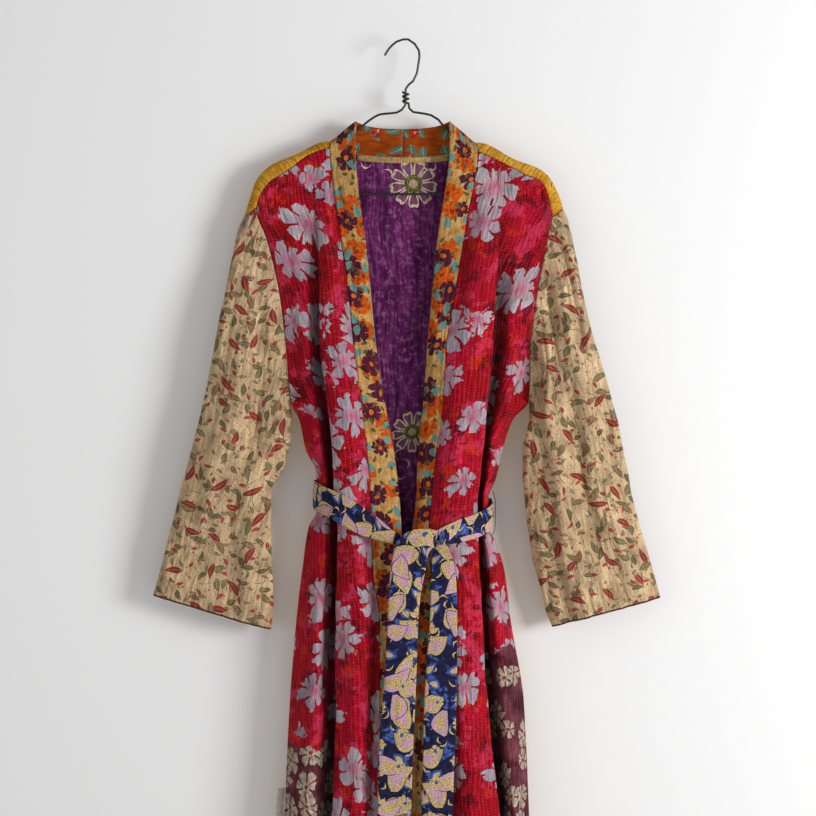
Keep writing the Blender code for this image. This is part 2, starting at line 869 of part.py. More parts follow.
def build():
    fronts = [
        front_grid(FRONT_LEFT, STRIP_LEFT, BAND_LEFT, -1),
        front_grid(FRONT_RIGHT, STRIP_RIGHT, BAND_RIGHT, 1),
    ]
    back = back_grid(fronts)
    cloth("back", back, CLOTH, "back", keep=back_cells(back))
    sides = (
        ("left", -1, fronts[0], SLEEVE_LEFT, SLEEVE_FOLDS_LEFT, BAND_LEFT),
        ("right", 1, fronts[1], SLEEVE_RIGHT, SLEEVE_FOLDS_RIGHT, BAND_RIGHT),
    )
    for name, side, front, sleeve, folds, band in sides:
        cloth(f"front_{name}", front, CLOTH, "front")
        tube = sleeve_grid(front, back, sleeve, folds, side)
        cloth(f"sleeve_{name}", tube, CLOTH, "sleeve", closed=True)
        cloth(f"neckband_{name}", band_grid(front, back, band, side), BAND, "neckband")

    cloth("belt_wrap", wrap_grid(), BELT, "belt")
    knot = rungs(
        np.stack([KNOT["inner"], KNOT["depth"], -KNOT["inner_drop"]], axis=-1),
        np.stack([KNOT["outer"], KNOT["depth"], -KNOT["outer_drop"]], axis=-1), 1.5,
    )
    cloth("belt_knot", knot, BELT, "belt")
    tail = rungs(
        np.stack([TAIL["left"], TAIL["depth"], -TAIL["left_drop"]], axis=-1),
        np.stack([TAIL["right"], TAIL["depth"], -TAIL["right_drop"]], axis=-1), 1.0,
    )
    cloth("belt_tail", tail, BELT, "belt")
    wire("belt_loop", np.stack([LOOP["x"], LOOP["depth"], -LOOP["drop"]], axis=-1), THREAD, "loop")
    tape = back[LAP_ROWS : LAP_ROWS + 3, NECK_LEFT + 4 : NECK_RIGHT - 3]
    cloth("neck_tape", tape - (0, (CLOTH + TAPE) / 2 + TRIM_GAP, 0), TAPE, "tape")
    tab = rungs(
        np.stack([TAB["seam"], TAB["seam_depth"], -TAB["drop"]], axis=-1),
        np.stack([TAB["outer"], TAB["outer_depth"], -TAB["drop"]], axis=-1), 0.5,
    )
    cloth("side_tab", tab, TAPE, "tab")
    wire("hanger", hanger_route(back[LAP_ROWS]), WIRE, "wire", metallic=0.6)


for old in list(bpy.data.objects):
    bpy.data.objects.remove(old)
parts = bpy.data.collections.new("robe_on_hanger")
bpy.context.scene.collection.children.link(parts)
build()
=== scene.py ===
# %% [markdown]
# # A long patchwork robe on a wire hanger
#
# The robe is made of two worn saris laid on each other and quilted by hand with rows of
# running stitch, which draw the cloth into fine ripples. Fronts, back, sleeves, neckband
# and belt are cut from different printed cloths. This script builds each sheet again on a
# fine grid, in the shape of the plain solids that it replaces, and prints and stitches it
# with node groups.
#
# Lengths are in millimetres until a mesh is made. The frame is in metres, +Z is up, the
# robe is seen from -Y, and the origin is under the crown of the hanger's hook.

# %% Start from the frame
import math

import bpy
import numpy as np
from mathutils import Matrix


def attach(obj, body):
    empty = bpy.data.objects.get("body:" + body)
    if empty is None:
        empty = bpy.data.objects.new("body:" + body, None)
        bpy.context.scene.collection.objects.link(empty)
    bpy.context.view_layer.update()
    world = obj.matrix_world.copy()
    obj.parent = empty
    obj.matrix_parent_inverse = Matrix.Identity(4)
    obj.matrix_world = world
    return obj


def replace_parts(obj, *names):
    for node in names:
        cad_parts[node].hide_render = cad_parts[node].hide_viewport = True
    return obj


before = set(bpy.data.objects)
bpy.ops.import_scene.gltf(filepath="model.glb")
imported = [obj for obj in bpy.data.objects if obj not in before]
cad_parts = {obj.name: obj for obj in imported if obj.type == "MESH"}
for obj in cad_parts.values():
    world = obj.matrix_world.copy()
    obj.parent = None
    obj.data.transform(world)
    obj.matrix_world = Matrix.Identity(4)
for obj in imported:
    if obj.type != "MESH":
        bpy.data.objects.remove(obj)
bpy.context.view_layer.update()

MM = 0.001

# %% [markdown]
# ## Thicknesses and gaps
#
# Quilted cotton in two layers is about 2 mm thick, and a folded band or belt a little
# more. Two pieces that are sewn to each other are modelled with a small gap between them,
# so that they stay pieces of their own and never cut through each other.

# %% Thicknesses and gaps
CLOTH = 2.2         # quilted cotton in two layers
BAND = 3.0          # neckband, folded once more
BELT = 2.4
TAPE = 1.0
THREAD = 1.0
GAP = 0.8           # between two pieces at a seam
NECK_GAP = 1.2
ARMPIT = 503.0
HEM = 1364.0
RUN = 5.0           # straight run of a panel beside a seam
print("cloth", CLOTH, "mm, neckband", BAND, "mm, belt", BELT, "mm")

# %% [markdown]
# ## Tables and curves
#
# A tailor's pattern has few points and smooth lines between them. Each outline here is a
# short table of places by their drop below the hook, and one curve that runs through the
# points. A plain cubic could bulge past them, so this one keeps its slope at nothing
# wherever the points turn.


# %% Tables and curves
def table(text):
    """Columns of numbers by name, from lines under one line of names."""
    lines = [line.split() for line in text.strip().splitlines()]
    values = np.array([[float(word) for word in line] for line in lines[1:]])
    return dict(zip(lines[0], values.T))


def curve(xs, ys, x):
    """y at x on a smooth curve through a table's points that never overshoots them.

    Each stretch is a cubic. Its slope at a point is the harmonic mean of the slopes of the
    two stretches beside it, weighed by their lengths, and 0 where the points turn.
    """
    steps = np.diff(xs)
    rises = np.diff(ys) / steps
    before, after = rises[:-1], rises[1:]
    wide, narrow = 2 * steps[1:] + steps[:-1], steps[1:] + 2 * steps[:-1]
    same = before * after > 0
    safe = np.where(same, before, 1), np.where(same, after, 1)
    inner = np.where(same, (wide + narrow) / (wide / safe[0] + narrow / safe[1]), 0)
    slopes = np.concatenate([rises[:1], inner, rises[-1:]])
    x = np.clip(x, xs[0], xs[-1])
    i = np.clip(np.searchsorted(xs, x, side="right") - 1, 0, len(steps) - 1)
    h, t = steps[i], (x - xs[i]) / steps[i]
    return (
        ys[i] * (1 + 2 * t) * (1 - t) ** 2
        + ys[i + 1] * t * t * (3 - 2 * t)
        + h * slopes[i] * t * (1 - t) ** 2
        - h * slopes[i + 1] * t * t * (1 - t)
    )


def column(rows, name, drop):
    """A named column of a table at any drop."""
    return curve(rows["drop"], rows[name], drop)


print("half way between 0 and 1 on a curve through 0, 1 and 1:",
      round(float(curve(np.array([0, 1, 2]), np.array([0, 1, 1]), 0.5)), 3))

# %% [markdown]
# ## Sections
#
# A section across the robe turns back on itself at a fold, so its depth can't be a
# function of its place across. It is a curve through stations in the plane instead, with
# a parameter that counts the stations. Columns are then spaced evenly by length along it,
# so that the cloth's grid is even however deep the fold is.


# %% Curves through stations
TINY = 1e-6         # least distance between two stations


def through(stations, t, first=None, last=None):
    """The point t on the curve through the stations, a list of (x, y) pairs of arrays.

    Each stretch is a cubic. Its slope at a station is the centripetal Catmull-Rom one, and
    first and last are the directions at the two ends, where they are given.
    """
    p = np.array([np.broadcast_arrays(*station, t)[:2] for station in stations])
    gaps = np.sqrt(np.maximum(np.linalg.norm(np.diff(p, axis=0), axis=1), TINY))[:, None]
    rises = np.diff(p, axis=0) / gaps
    inner = rises[:-1] + rises[1:] - (p[2:] - p[:-2]) / (gaps[:-1] + gaps[1:])
    ends = [rises[0], rises[-1]]
    for k, way in enumerate((first, last)):
        if way is not None:
            ends[k] = np.array(way) * np.linalg.norm(ends[k], axis=0)
    slopes = np.concatenate([ends[:1], inner, ends[1:]])
    span = np.clip(np.floor(t), 0, len(stations) - 2)
    found = np.zeros(p.shape[1:])
    for i in range(len(stations) - 1):
        f = t - i
        here = (
            p[i] * (1 + 2 * f) * (1 - f) ** 2
            + p[i + 1] * f * f * (3 - 2 * f)
            + gaps[i] * slopes[i] * f * (1 - f) ** 2
            - gaps[i] * slopes[i + 1] * f * f * (1 - f)
        )
        found = np.where(span == i, here, found)
    return found


bend = through([(0, 0), (1, 1), (2, 0)], np.array([0.5]))
print("half way to the first bend", np.round(bend[:, 0], 3))

# %% Even columns and grids
ARM_ROWS = 100      # rows of a front beside its armhole
BODY_DROPS = np.concatenate([[506.5, 510, 513.5], np.linspace(517, HEM, 230)])
FINE = 1201         # samples along a section when its length is measured


def side_turn(drop):
    """0 where a panel's side meets a sleeve, 1 where it turns to meet the other panel."""
    return np.clip((drop - ARMPIT) / (BODY_DROPS[0] - ARMPIT), 0, 1)


def even(section, drop, first, last, spacing):
    """Stations from first to last, evenly spaced by length along a section at one drop.

    The length up to each of many samples is summed, and the stations are read off at even
    steps of it.
    """
    t = np.linspace(first, last, FINE)
    x, y = section(t, np.full(len(t), drop))
    run = np.concatenate([[0], np.cumsum(np.hypot(np.diff(x), np.diff(y)))])
    return np.interp(np.linspace(0, run[-1], round(run[-1] / spacing) + 1), run, t)


def grid(x, y, drop):
    """Points, row by row, from arrays of places across, depths and drops."""
    return np.stack(np.broadcast_arrays(x, y, -drop), axis=-1)


print("rows below the armpit", len(BODY_DROPS), "from", BODY_DROPS[0], "to", BODY_DROPS[-1])

# %% [markdown]
# ## The two fronts
#
# Each front hangs from its shoulder strip and is drawn in by the belt, so its width goes
# into one deep fold that runs from the chest to the hem. The inner lobe, beside the
# neckband, stands proud and laps over the outer lobe, which runs back to the side seam.
# Tables give the places of seam, fold and side at a few drops, as on a paper pattern.

# %% Outlines of the fronts
FRONT_LEFT = table("""
drop   seam   fold   side
 111   -104   -122   -204
 153   -102   -121   -204
 209    -97   -117   -204
 240    -92   -115   -203
 279    -86   -113   -189
 363    -75   -113   -170
 433    -68   -112   -162
 503    -58   -104   -156
 531    -55   -101   -143
 573    -50    -98   -134
 606    -47    -95   -119
 658    -44    -92   -119
 682    -43    -88   -130
 741    -41    -88  -139
 811    -32    -90  -147
 923    -32    -92  -156
1086    -32    -97  -164
1364    -34   -104  -176
""")
FRONT_RIGHT = table("""
drop   seam   fold   side
 111    106    134    208
 153    106    133    209
 209     99    131    209
 240     92    130    209
 279     86    129    202
 363     72    128    186
 433     61    126    178
 503     57    117    176
 531     55    114    153
 573     48    110    139
 612     44    106    130
 642     41    103    119
 682     37    103    119
 700     38    104    128
 741     41    106    141
 811     50    109    150
 923     54    118    168
1086     57    134    176
1364     61    145    186
""")
for side, rows in (("left", FRONT_LEFT), ("right", FRONT_RIGHT)):
    width = abs(column(rows, "side", 668) - column(rows, "seam", 668))
    print(side, "front's width at the waist", round(float(width)), "mm")

# %% [markdown]
# ### How deep a front stands
#
# On the hanger the cloth falls forward from the chest down. The second table gives the
# depth at the seam, on the crest of the inner lobe, at the fold and on the outer lobe. The
# groove of a real fold is as narrow and deep as cloth allows. Here it is twice as deep as
# in the plain solids, whose walls need room for simple collision pieces.

# %% Depths of the fronts
FRONT_DEPTH = table("""
drop   seam  crest  fold  step  lap  outer  side
 111     -9     -9    -9     0    0     -9    -9
 180     -9    -10    -9     0    0     -9    -9
 240    -12    -19   -15     2    0    -13    -9
 300    -18    -30   -23     6    4    -19    -9
 363    -25    -38   -29     9    8    -22    -9
 433    -31    -44   -33    12   12    -24    -8
 503    -36    -50   -37    14   16    -25    -6
 531    -38    -52   -38    15   18    -27     0
 573    -40    -54   -40    16   22    -28     0
 650    -42    -55   -41    17   28    -27     0
 686    -42    -55   -41    17   28    -28     0
 741    -42    -57   -42    17   24    -34     0
 811    -40    -60   -44    16   20    -39     0
 923    -36    -63   -45    16   16    -43     0
1086    -33    -66   -46    16   14    -47     0
1364    -31    -72   -50    18   14    -54     0
""")
DEEPER = 2.0        # depth of the fold's groove, as a multiple of the plain solid's
GROOVE = 5.0        # across, from the inner lobe's edge to the groove's floor
FRONT_DEPTH["step"] = FRONT_DEPTH["step"] * DEEPER
print("deepest groove", FRONT_DEPTH["step"].max(), "mm")

# %% [markdown]
# ### Where strips and neckband meet the fronts
#
# The mustard strips on the shoulders end along a line that bends down towards the arm, and
# the fronts hang from it. The neckband's free edge sets the direction in which a front
# leaves its seam, so that band and front lie in one line there.

# %% Lines of the shoulder strips
STRIP_LEFT = table("""
   x   drop
-205    247
-202    226
-194    209
-185    198
-174    191
-157    180
-131    161
-102    150
""")
STRIP_RIGHT = table("""
   x   drop
 106    156
 148    176
 173    189
 190    196
 199    206
 204    222
 209    250
""")
print("strips from", STRIP_LEFT["x"].min(), "to", STRIP_RIGHT["x"].max(), "mm across")

# %% Free edge of the neckband
BAND_LEFT = table("""
drop   free  depth  ahead
 141    -65     -1     27
 150    -65     -9     24
 180    -65    -14     10
 209    -62    -15      3
 279    -52    -15      0
 363    -44    -16      0
 433    -37    -17      0
 503    -26    -18      0
 573    -13    -20      0
 650     -4    -24      0
 686     -2    -28      0
 741      0    -27      0
 811      5    -24      0
 923      6    -20      0
1086      6    -18      0
1364      5    -16      0
""")
BAND_RIGHT = table("""
drop   free  depth  ahead
 143     65     -1     29
 156     66     -9     26
 180     65     -14    12
 209     60     -15      3
 279     49     -15      0
 363     41     -16      0
 433     35     -17      0
 503     30     -18      0
 573     23     -20      0
 650     19     -24      0
 686     14     -28      0
 741     12     -27      0
 811     11     -24      0
 923     12     -20      0
1086     12     -18      0
1364     12     -16      0
""")
print("neckband's width at the chest, left",
      column(BAND_LEFT, "free", 433) - column(FRONT_LEFT, "seam", 433), "mm")

# %% [markdown]
# ### A front's section
#
# Nine stations draw a front from its seam to its side: a straight run beside the seam, the
# crest of the inner lobe, the fold, the groove behind it, the outer lobe, and a straight
# run to the side. The depths and places of all of them change smoothly down the robe.


# %% A front's section
def front_section(rows, band, out, t, drop):
    """(x, y) of a front panel at station t of its section at a drop; out is -1 or +1.

    Its first and last RUN are straight, in line with the neckband and with what it meets
    at its side.
    """
    seam, fold, side = (column(rows, name, drop) for name in ("seam", "fold", "side"))
    depth = {name: column(FRONT_DEPTH, name, drop) for name in FRONT_DEPTH if name != "drop"}
    lap, under = depth["lap"], depth["fold"] + depth["step"]
    behind = fold + out * GROOVE
    to_band = column(band, "free", drop) - seam, column(band, "depth", drop) - depth["seam"]
    length = np.hypot(*to_band)
    to_band = to_band[0] / length, to_band[1] / length
    turn = side_turn(drop) * math.pi / 2
    to_side = out * np.cos(turn), np.sin(turn)
    edge = depth["side"] - GAP / 2
    stations = [
        (seam, depth["seam"]),
        (seam - RUN * to_band[0], depth["seam"] - RUN * to_band[1]),
        (seam + 0.45 * (fold - seam), depth["crest"]),
        (fold, depth["fold"]),
        (fold + out * (5 - lap), depth["fold"] + depth["step"] * 0.5),
        (behind, under),
        (behind + 0.4 * (side - behind), depth["outer"]),
        (side - RUN * to_side[0], edge - RUN * to_side[1]),
        (side, edge),
    ]
    return through(stations, t, first=(-to_band[0], -to_band[1]), last=to_side)


waist = front_section(FRONT_LEFT, BAND_LEFT, -1, np.array([0, 8]), np.array([668, 668]))
print("left front at the waist, seam and side", np.round(waist.T, 1).tolist())

# %% [markdown]
# ### The fronts' grids
#
# The same stations are used at every drop, so a column follows one thread of the cloth from
# top to hem. The top row has to end on the strip's line. Its drop depends on its place
# across, which depends on its drop, so a few rounds of putting one into the other settle it.

# %% Grids of the fronts
ACROSS = 2.6        # between two columns of a front
EVEN_AT = 741.0     # drop at which the columns are evenly spaced
LAST_STATION = 8
ROUNDS = 8          # in which a top row settles on its line


def front_columns(rows, band, out):
    """The stations of a front's columns, from its seam to its side."""
    return even(lambda at, drop: front_section(rows, band, out, at, drop),
                EVEN_AT, 0, LAST_STATION, ACROSS)


def front_grid(rows, strip, band, out):
    """A front panel: rows down from the shoulder strip, columns out from the neckband."""
    t = front_columns(rows, band, out)
    top = np.full(len(t), 180.0)
    for _ in range(ROUNDS):
        x, _y = front_section(rows, band, out, t, top)
        top = curve(strip["x"], strip["drop"], x) + GAP
    part = np.linspace(0, 1, ARM_ROWS + 1)[:, None]
    drop = np.vstack([top + (ARMPIT - top) * part, np.tile(BODY_DROPS, (len(t), 1)).T])
    x, y = front_section(rows, band, out, t[None, :], drop)
    return grid(x, y, drop)


fronts = [
    front_grid(FRONT_LEFT, STRIP_LEFT, BAND_LEFT, -1),
    front_grid(FRONT_RIGHT, STRIP_RIGHT, BAND_RIGHT, 1),
]
print("front grids", fronts[0].shape, fronts[1].shape)

# %% [markdown]
# ## The back and its shoulder strips
#
# The back is one panel that laps forward over both shoulders, where it ends in the strips
# that carry the fronts. Below the arms its spare width is laid into a pleat on each side.
# Its outline is given by tables too: depths, armholes, and the line over neck and shoulders.

# %% Depths and armholes of the back
BACK_DEPTH = table("""
drop  middle  outer  step  lap  side
 111       8      8     0    0     7
 209       8      9     2    0     7
 279       8     13     7    1     6
 363       7     16    11   12     6
 503       6     17    13   20     5
 531       6     17    13   22     0
 573       6     17    13   24     0
 650       6     17    13   28     0
 741       6     17    13   26     0
 923       6     18    13   20     0
1364       5     18    13   16     0
""")
BACK_ARM = table("""
drop   left  right
 111   -223    224
 238   -223    224
 258   -219    217
 275   -206    207
 300   -190    197
 363   -172    186
 433   -163    178
 503   -156    176
""")
print("back between the armholes",
      column(BACK_ARM, "right", 363) - column(BACK_ARM, "left", 363), "mm")

# %% Line over neck and shoulders
TOP_LINE = table("""
   x   drop
-224    258
-212    218
-204    195
-195    184
-183    174
-148    159
-106  141.5
 -99    142
 -84    151
 -66    157
 -30    161
   0    162
  35    161
  66    158
  86    152
  99    145
 106    143
 158    167
 190    179
 204    190
 212    203
 222    227
 225    239
""")
print("shoulders", TOP_LINE["x"].min(), "to", TOP_LINE["x"].max(), "mm across")

# %% [markdown]
# ### The back's section
#
# A pleat is a sheet that turns back twice. Here each pleat is seven stations on two small
# half turns. Above the chest it opens out into seven stations in a line, and the share of
# the fold moves every station from the one place to the other.

# %% The back's section
PLEAT_FROM = 9.0    # lap at which a pleat of the back is wholly folded


def back_section(t, drop):
    """(x, y) of the back at station t of its section at a drop, from left to right."""
    above = drop < ARMPIT
    left = np.where(above, column(BACK_ARM, "left", drop), column(FRONT_LEFT, "side", drop))
    right = np.where(above, column(BACK_ARM, "right", drop), column(FRONT_RIGHT, "side", drop))
    depth = {name: column(BACK_DEPTH, name, drop) for name in BACK_DEPTH if name != "drop"}
    middle, half = (left + right) / 2, (right - left) / 2
    outer, step, lap = depth["outer"], depth["step"], depth["lap"]
    turn = side_turn(drop) * math.pi / 2
    rim = depth["side"] + GAP / 2

    folded = np.clip(lap / PLEAT_FROM, 0, 1)
    folded = folded * folded * (3 - 2 * folded)
    radius = step / 4

    def pleat(way):
        edge = middle + way * half * 0.50
        tuck = edge + way * np.maximum(lap, PLEAT_FROM)
        laid = [
            (edge + way * radius, outer), (edge, outer - radius),
            (edge + way * radius, outer - 2 * radius),
            (tuck - way * radius, outer - 2 * radius), (tuck, outer - 3 * radius),
            (tuck - way * radius, outer - step), (edge - way * 7, outer - step),
        ]
        flat = [(edge - way * 3 * k, outer - step * (k + 3) / 6) for k in range(-3, 4)]
        fold = [
            tuple(a + folded * (b - a) for a, b in zip(open_point, laid_point))
            for open_point, laid_point in zip(flat, laid)
        ]
        return [
            (middle + way * half, rim),
            (middle + way * (half - RUN * np.cos(turn)), rim + RUN * np.sin(turn)),
            (middle + way * half * 0.90, outer * 0.75),
            (middle + way * half * 0.70, outer),
            *fold,
            (middle + way * half * 0.22, depth["middle"] + 3),
        ]

    stations = pleat(-1) + [(middle, depth["middle"])] + pleat(1)[::-1]
    return through(
        stations, t, first=(np.cos(turn), np.sin(turn)), last=(np.cos(turn), -np.sin(turn))
    )


BACK_ACROSS = 3.7   # between two columns of the back
BACK_EVEN_AT = 460.0
MIDDLE, NECK_AT = 12, 10    # stations at the back's middle and at the neck's left corner
SHOULDER = even(back_section, BACK_EVEN_AT, 0, NECK_AT, BACK_ACROSS)
NECK = even(back_section, BACK_EVEN_AT, NECK_AT, MIDDLE, BACK_ACROSS)[1:]
BACK_COLUMNS = np.concatenate([
    SHOULDER, NECK, 2 * MIDDLE - NECK[-2::-1], 2 * MIDDLE - SHOULDER[::-1]
])
NECK_LEFT = len(SHOULDER) - 1
NECK_RIGHT = len(BACK_COLUMNS) - len(SHOULDER)
print("back columns", len(BACK_COLUMNS), "of which on the neck", NECK_RIGHT - NECK_LEFT + 1)

# %% [markdown]
# ### Over the shoulders
#
# The top of the back turns over each shoulder and comes down in front as the mustard strip.
# Its last row has to lie beside the front's own top row, so it is that row moved on by the
# seam's gap, with its points at the back's shares of the length. The turn between is a
# quarter of an ellipse, as cloth lies over a wire.

# %% Grid of the back
HALF = CLOTH / 2
LAP_BACK = 16.0     # drop in which the back turns over the shoulder
LAP_ROWS = 6
TURN_ROWS = 6
BACK_ARM_ROWS = 90
NECK_TURN = (88.0, 104.0)   # from the middle: where the back's top rises to a shoulder


def matched(edge, guide):
    """Points on an edge at the same shares of its length as the guide's points."""
    shares = []
    for line in (edge, guide):
        steps = np.linalg.norm(np.diff(line, axis=0), axis=1)
        shares.append(np.concatenate([[0], np.cumsum(steps)]) / steps.sum())
    return np.stack([np.interp(shares[1], shares[0], values) for values in edge.T], axis=-1)


def beside(edge):
    """An edge that runs towards +X, moved up by the seam's gap, square to itself."""
    along = np.gradient(edge, axis=0)
    square = np.stack([-along[:, 2], 0 * along[:, 0], along[:, 0]], axis=-1)
    return edge + GAP * square / np.linalg.norm(square, axis=-1, keepdims=True)


def back_grid():
    """The back, whose top rows lap over the shoulders to the fronts' top edges.

    The quarter turn over a shoulder is an ellipse: depth follows the sine of the angle,
    and the way down and across follows one minus its cosine.
    """
    t = BACK_COLUMNS
    top = np.full(len(t), 160.0)
    for _ in range(ROUNDS):
        x, _y = back_section(t, top)
        top = curve(TOP_LINE["x"], TOP_LINE["drop"], x) + HALF
    rounding = 1 - np.cos(np.linspace(0, math.pi / 2, TURN_ROWS + 1))[:, None]
    first = top + LAP_BACK * rounding
    part = np.linspace(0, 1, BACK_ARM_ROWS + 1)[1:, None]
    drop = np.vstack([
        first, first[-1] + (ARMPIT - first[-1]) * part, np.tile(BODY_DROPS, (len(t), 1)).T
    ])
    x, y = back_section(t[None, :], drop)
    over = np.sqrt(1 - (1 - np.clip((drop - top) / LAP_BACK, 0, 1)) ** 2)
    near, far = NECK_TURN
    shoulder = np.clip((np.abs(x[0]) - near) / (far - near), 0, 1)
    points = grid(x, y * (1 - shoulder * (1 - over)), drop)

    crest = points[0]
    foot = crest.copy()
    foot[: NECK_LEFT + 1] = beside(matched(fronts[0][0, ::-1], crest[: NECK_LEFT + 1]))
    foot[NECK_RIGHT:] = beside(matched(fronts[1][0], crest[NECK_RIGHT:]))
    angle = np.linspace(math.pi / 2, 0, LAP_ROWS + 1)[:-1, None]
    share = np.stack([1 - np.cos(angle), np.sin(angle), 1 - np.cos(angle)], axis=-1)
    return np.concatenate([crest + (foot - crest) * share, points])


back = back_grid()
print("back grid", back.shape, "neck columns", NECK_LEFT, NECK_RIGHT)

# %% [markdown]
# ## The sleeves
#
# A kimono sleeve is a flat tube set to the straight edge of the body, without a shaped
# sleeve head. Nine rings between its outer and its underarm edge give its outline and how
# far it stands open. A few long folds run down its front. They are ridges and grooves with
# the profile of a bell curve, a little sharper than in the plain solids.

# %% Rings and folds of the sleeves
SLEEVE_LEFT = table("""
outer  outer_drop  under  under_drop  front  back
 -238         305   -158         532     19     8
 -247         352   -159         553     25     9
 -260         425   -164         582     30    11
 -275         500   -175         607     32    12
 -292         565   -186         635     32    12
 -308         625   -187         678     29    12
 -324         688   -185         722     25    11
 -338         742   -183         770     20    10
 -348         777   -188         824     15     9
""")
SLEEVE_RIGHT = table("""
outer  outer_drop  under  under_drop  front  back
  241         300    178         526     19     8
  251         352    173         550     25     9
  263         405    167         574     30    11
  279         465    168         604     32    12
  297         540    174         645     32    12
  313         610    178         688     29    12
  329         675    185         728     25    11
  345         727    196         768     20    10
  360         780    212         820     15     9
""")
SLEEVE_FOLDS_LEFT = table("""
at    depth  width  first  last
0.34      4   0.10      0     5
0.62     -4   0.10      1     8
0.80      3   0.08      3     9
""")
SLEEVE_FOLDS_RIGHT = table("""
at    depth  width  first  last
0.42     -5   0.09      0     6
0.66      5   0.11      0     9
0.22      3   0.08      3     9
""")
SHARPER = 1.6       # depth of the sleeves' folds, as a multiple of the plain solids'
for folds in (SLEEVE_FOLDS_LEFT, SLEEVE_FOLDS_RIGHT):
    folds["depth"] = folds["depth"] * SHARPER
    folds["width"] = folds["width"] / SHARPER ** 0.5
print("sleeve folds up to", np.abs(SLEEVE_FOLDS_RIGHT["depth"]).max(), "mm")

# %% [markdown]
# ### Starting a piece at a seam
#
# A piece that is sewn on starts at the other piece's own edge, moved on by the seam's gap.
# The way it moves is in line with the cloth it leaves and square to the seam, so that both
# lie flat to each other there. Rows given far apart are then filled in by curves.

# %% Leaving a seam, and finer rows
SHARPEST = 0.9      # least sum of the two unit directions at a seam's corner


def leaving(places, inside, closed=False):
    """How a sheet is left at its edge: steps away from inside, square to the edge.

    A step is 1 long, and longer at a corner, so that a moved edge stays as far from both
    of the corner's sides.
    """
    before = places - np.roll(places, 1, axis=0)
    after = np.roll(places, -1, axis=0) - places
    if not closed:
        before[0], after[-1] = after[0], before[-1]
    before, after = (
        part / np.linalg.norm(part, axis=-1, keepdims=True) for part in (before, after)
    )
    along = before + after
    length = np.linalg.norm(along, axis=-1, keepdims=True)
    along /= length
    way = places - inside
    way -= along * np.sum(way * along, axis=-1, keepdims=True)
    return way / np.linalg.norm(way, axis=-1, keepdims=True) * 2 / np.maximum(length, SHARPEST)


def finer(points, spacing):
    """The same sheet with its rows about a spacing apart, on curves through the given rows.

    Every column is one curve over the mean length down the sheet.
    """
    steps = np.linalg.norm(np.diff(points, axis=0), axis=-1).mean(axis=1)
    marks = np.concatenate([[0], np.cumsum(steps)])
    fine = np.concatenate([
        np.linspace(a, b, max(1, round((b - a) / spacing)), endpoint=False)
        for a, b in zip(marks[:-1], marks[1:])
    ] + [marks[-1:]])
    flat = points.reshape(len(points), -1)
    found = np.stack([curve(marks, values, fine) for values in flat.T], axis=-1)
    return found.reshape(-1, *points.shape[1:])


print("a 10 mm strip in rows 3 mm apart",
      finer(np.array([[[0, 0, 0]], [[0, 0, -10.0]]]), 3.0)[:, 0, 2].round(1).tolist())

# %% [markdown]
# ### The sleeves' grids
#
# The armhole is closed by the back's lap, the front's side and the back's side, in that
# order round. The rings below it go round the flattened tube in the same order, so that
# the grid runs straight on from the seam to the cuff.

# %% Grids of the sleeves
SLEEVE_RUN = 2.5    # straight run beside the armhole
RING = 4.4          # between two rings of a sleeve


def sleeve_grid(front, rows, folds, side):
    """A sleeve: rings of points from the armhole to the cuff.

    The first two rings are the panels' own armhole edges, moved out by the seam's gap and
    a little more. The others are flattened loops between the outer and underarm edges:
    across = (1 - cos(angle)) / 2, and the cloth stands off by sin(angle) ** 0.7.
    """
    edge, inside = (0, 1) if side < 0 else (-1, -2)
    crest, bottom = LAP_ROWS, LAP_ROWS + TURN_ROWS + BACK_ARM_ROWS
    over = back[1 : crest + 1][::-1]
    seam = front[: ARM_ROWS + 1, ::-1] if side < 0 else front[: ARM_ROWS + 1]
    behind = back[crest + 1 : bottom + 1][::-1]
    places, from_inside = (
        np.concatenate([part[:, k] for part in (over, seam, behind)]) for k in (edge, inside)
    )
    ways = leaving(places, from_inside, closed=True)
    rings = [places + ways * space for space in (GAP, GAP + SLEEVE_RUN)]

    fore = len(over) + len(seam) - 1
    count = len(places)
    angle = np.concatenate([
        np.linspace(0, math.pi, fore + 1),
        np.linspace(math.pi, 2 * math.pi, count - fore + 1)[1:-1],
    ])
    across = (1 - np.cos(angle)) / 2
    forward = np.where(angle <= math.pi, 1, 0)
    for k in range(len(rows["outer"])):
        ring = {name: rows[name][k] for name in rows}
        x = ring["outer"] + (ring["under"] - ring["outer"]) * across
        drop = ring["outer_drop"] + (ring["under_drop"] - ring["outer_drop"]) * across
        bulge = np.abs(np.sin(angle)) ** 0.7
        y = np.where(forward, -ring["front"], ring["back"]) * bulge
        for at, depth, width, first, last in zip(*folds.values()):
            if first <= k <= last:
                y = y - forward * bulge * depth * np.exp(-(((across - at) / width) ** 2))
        rings.append(grid(x, y, drop))
    return finer(np.array(rings), RING)


sleeves = [
    sleeve_grid(fronts[0], SLEEVE_LEFT, SLEEVE_FOLDS_LEFT, -1),
    sleeve_grid(fronts[1], SLEEVE_RIGHT, SLEEVE_FOLDS_RIGHT, 1),
]
print("sleeve grids", sleeves[0].shape, sleeves[1].shape)

# %% [markdown]
# ## The neckband
#
# A folded strip that is sewn round the back neck and down both fronts. At the neck it
# stands up, and on the shoulders it turns and lies down on the fronts. It is a ladder of
# rungs from the seam to the free edge, in two halves that meet in the middle of the neck.

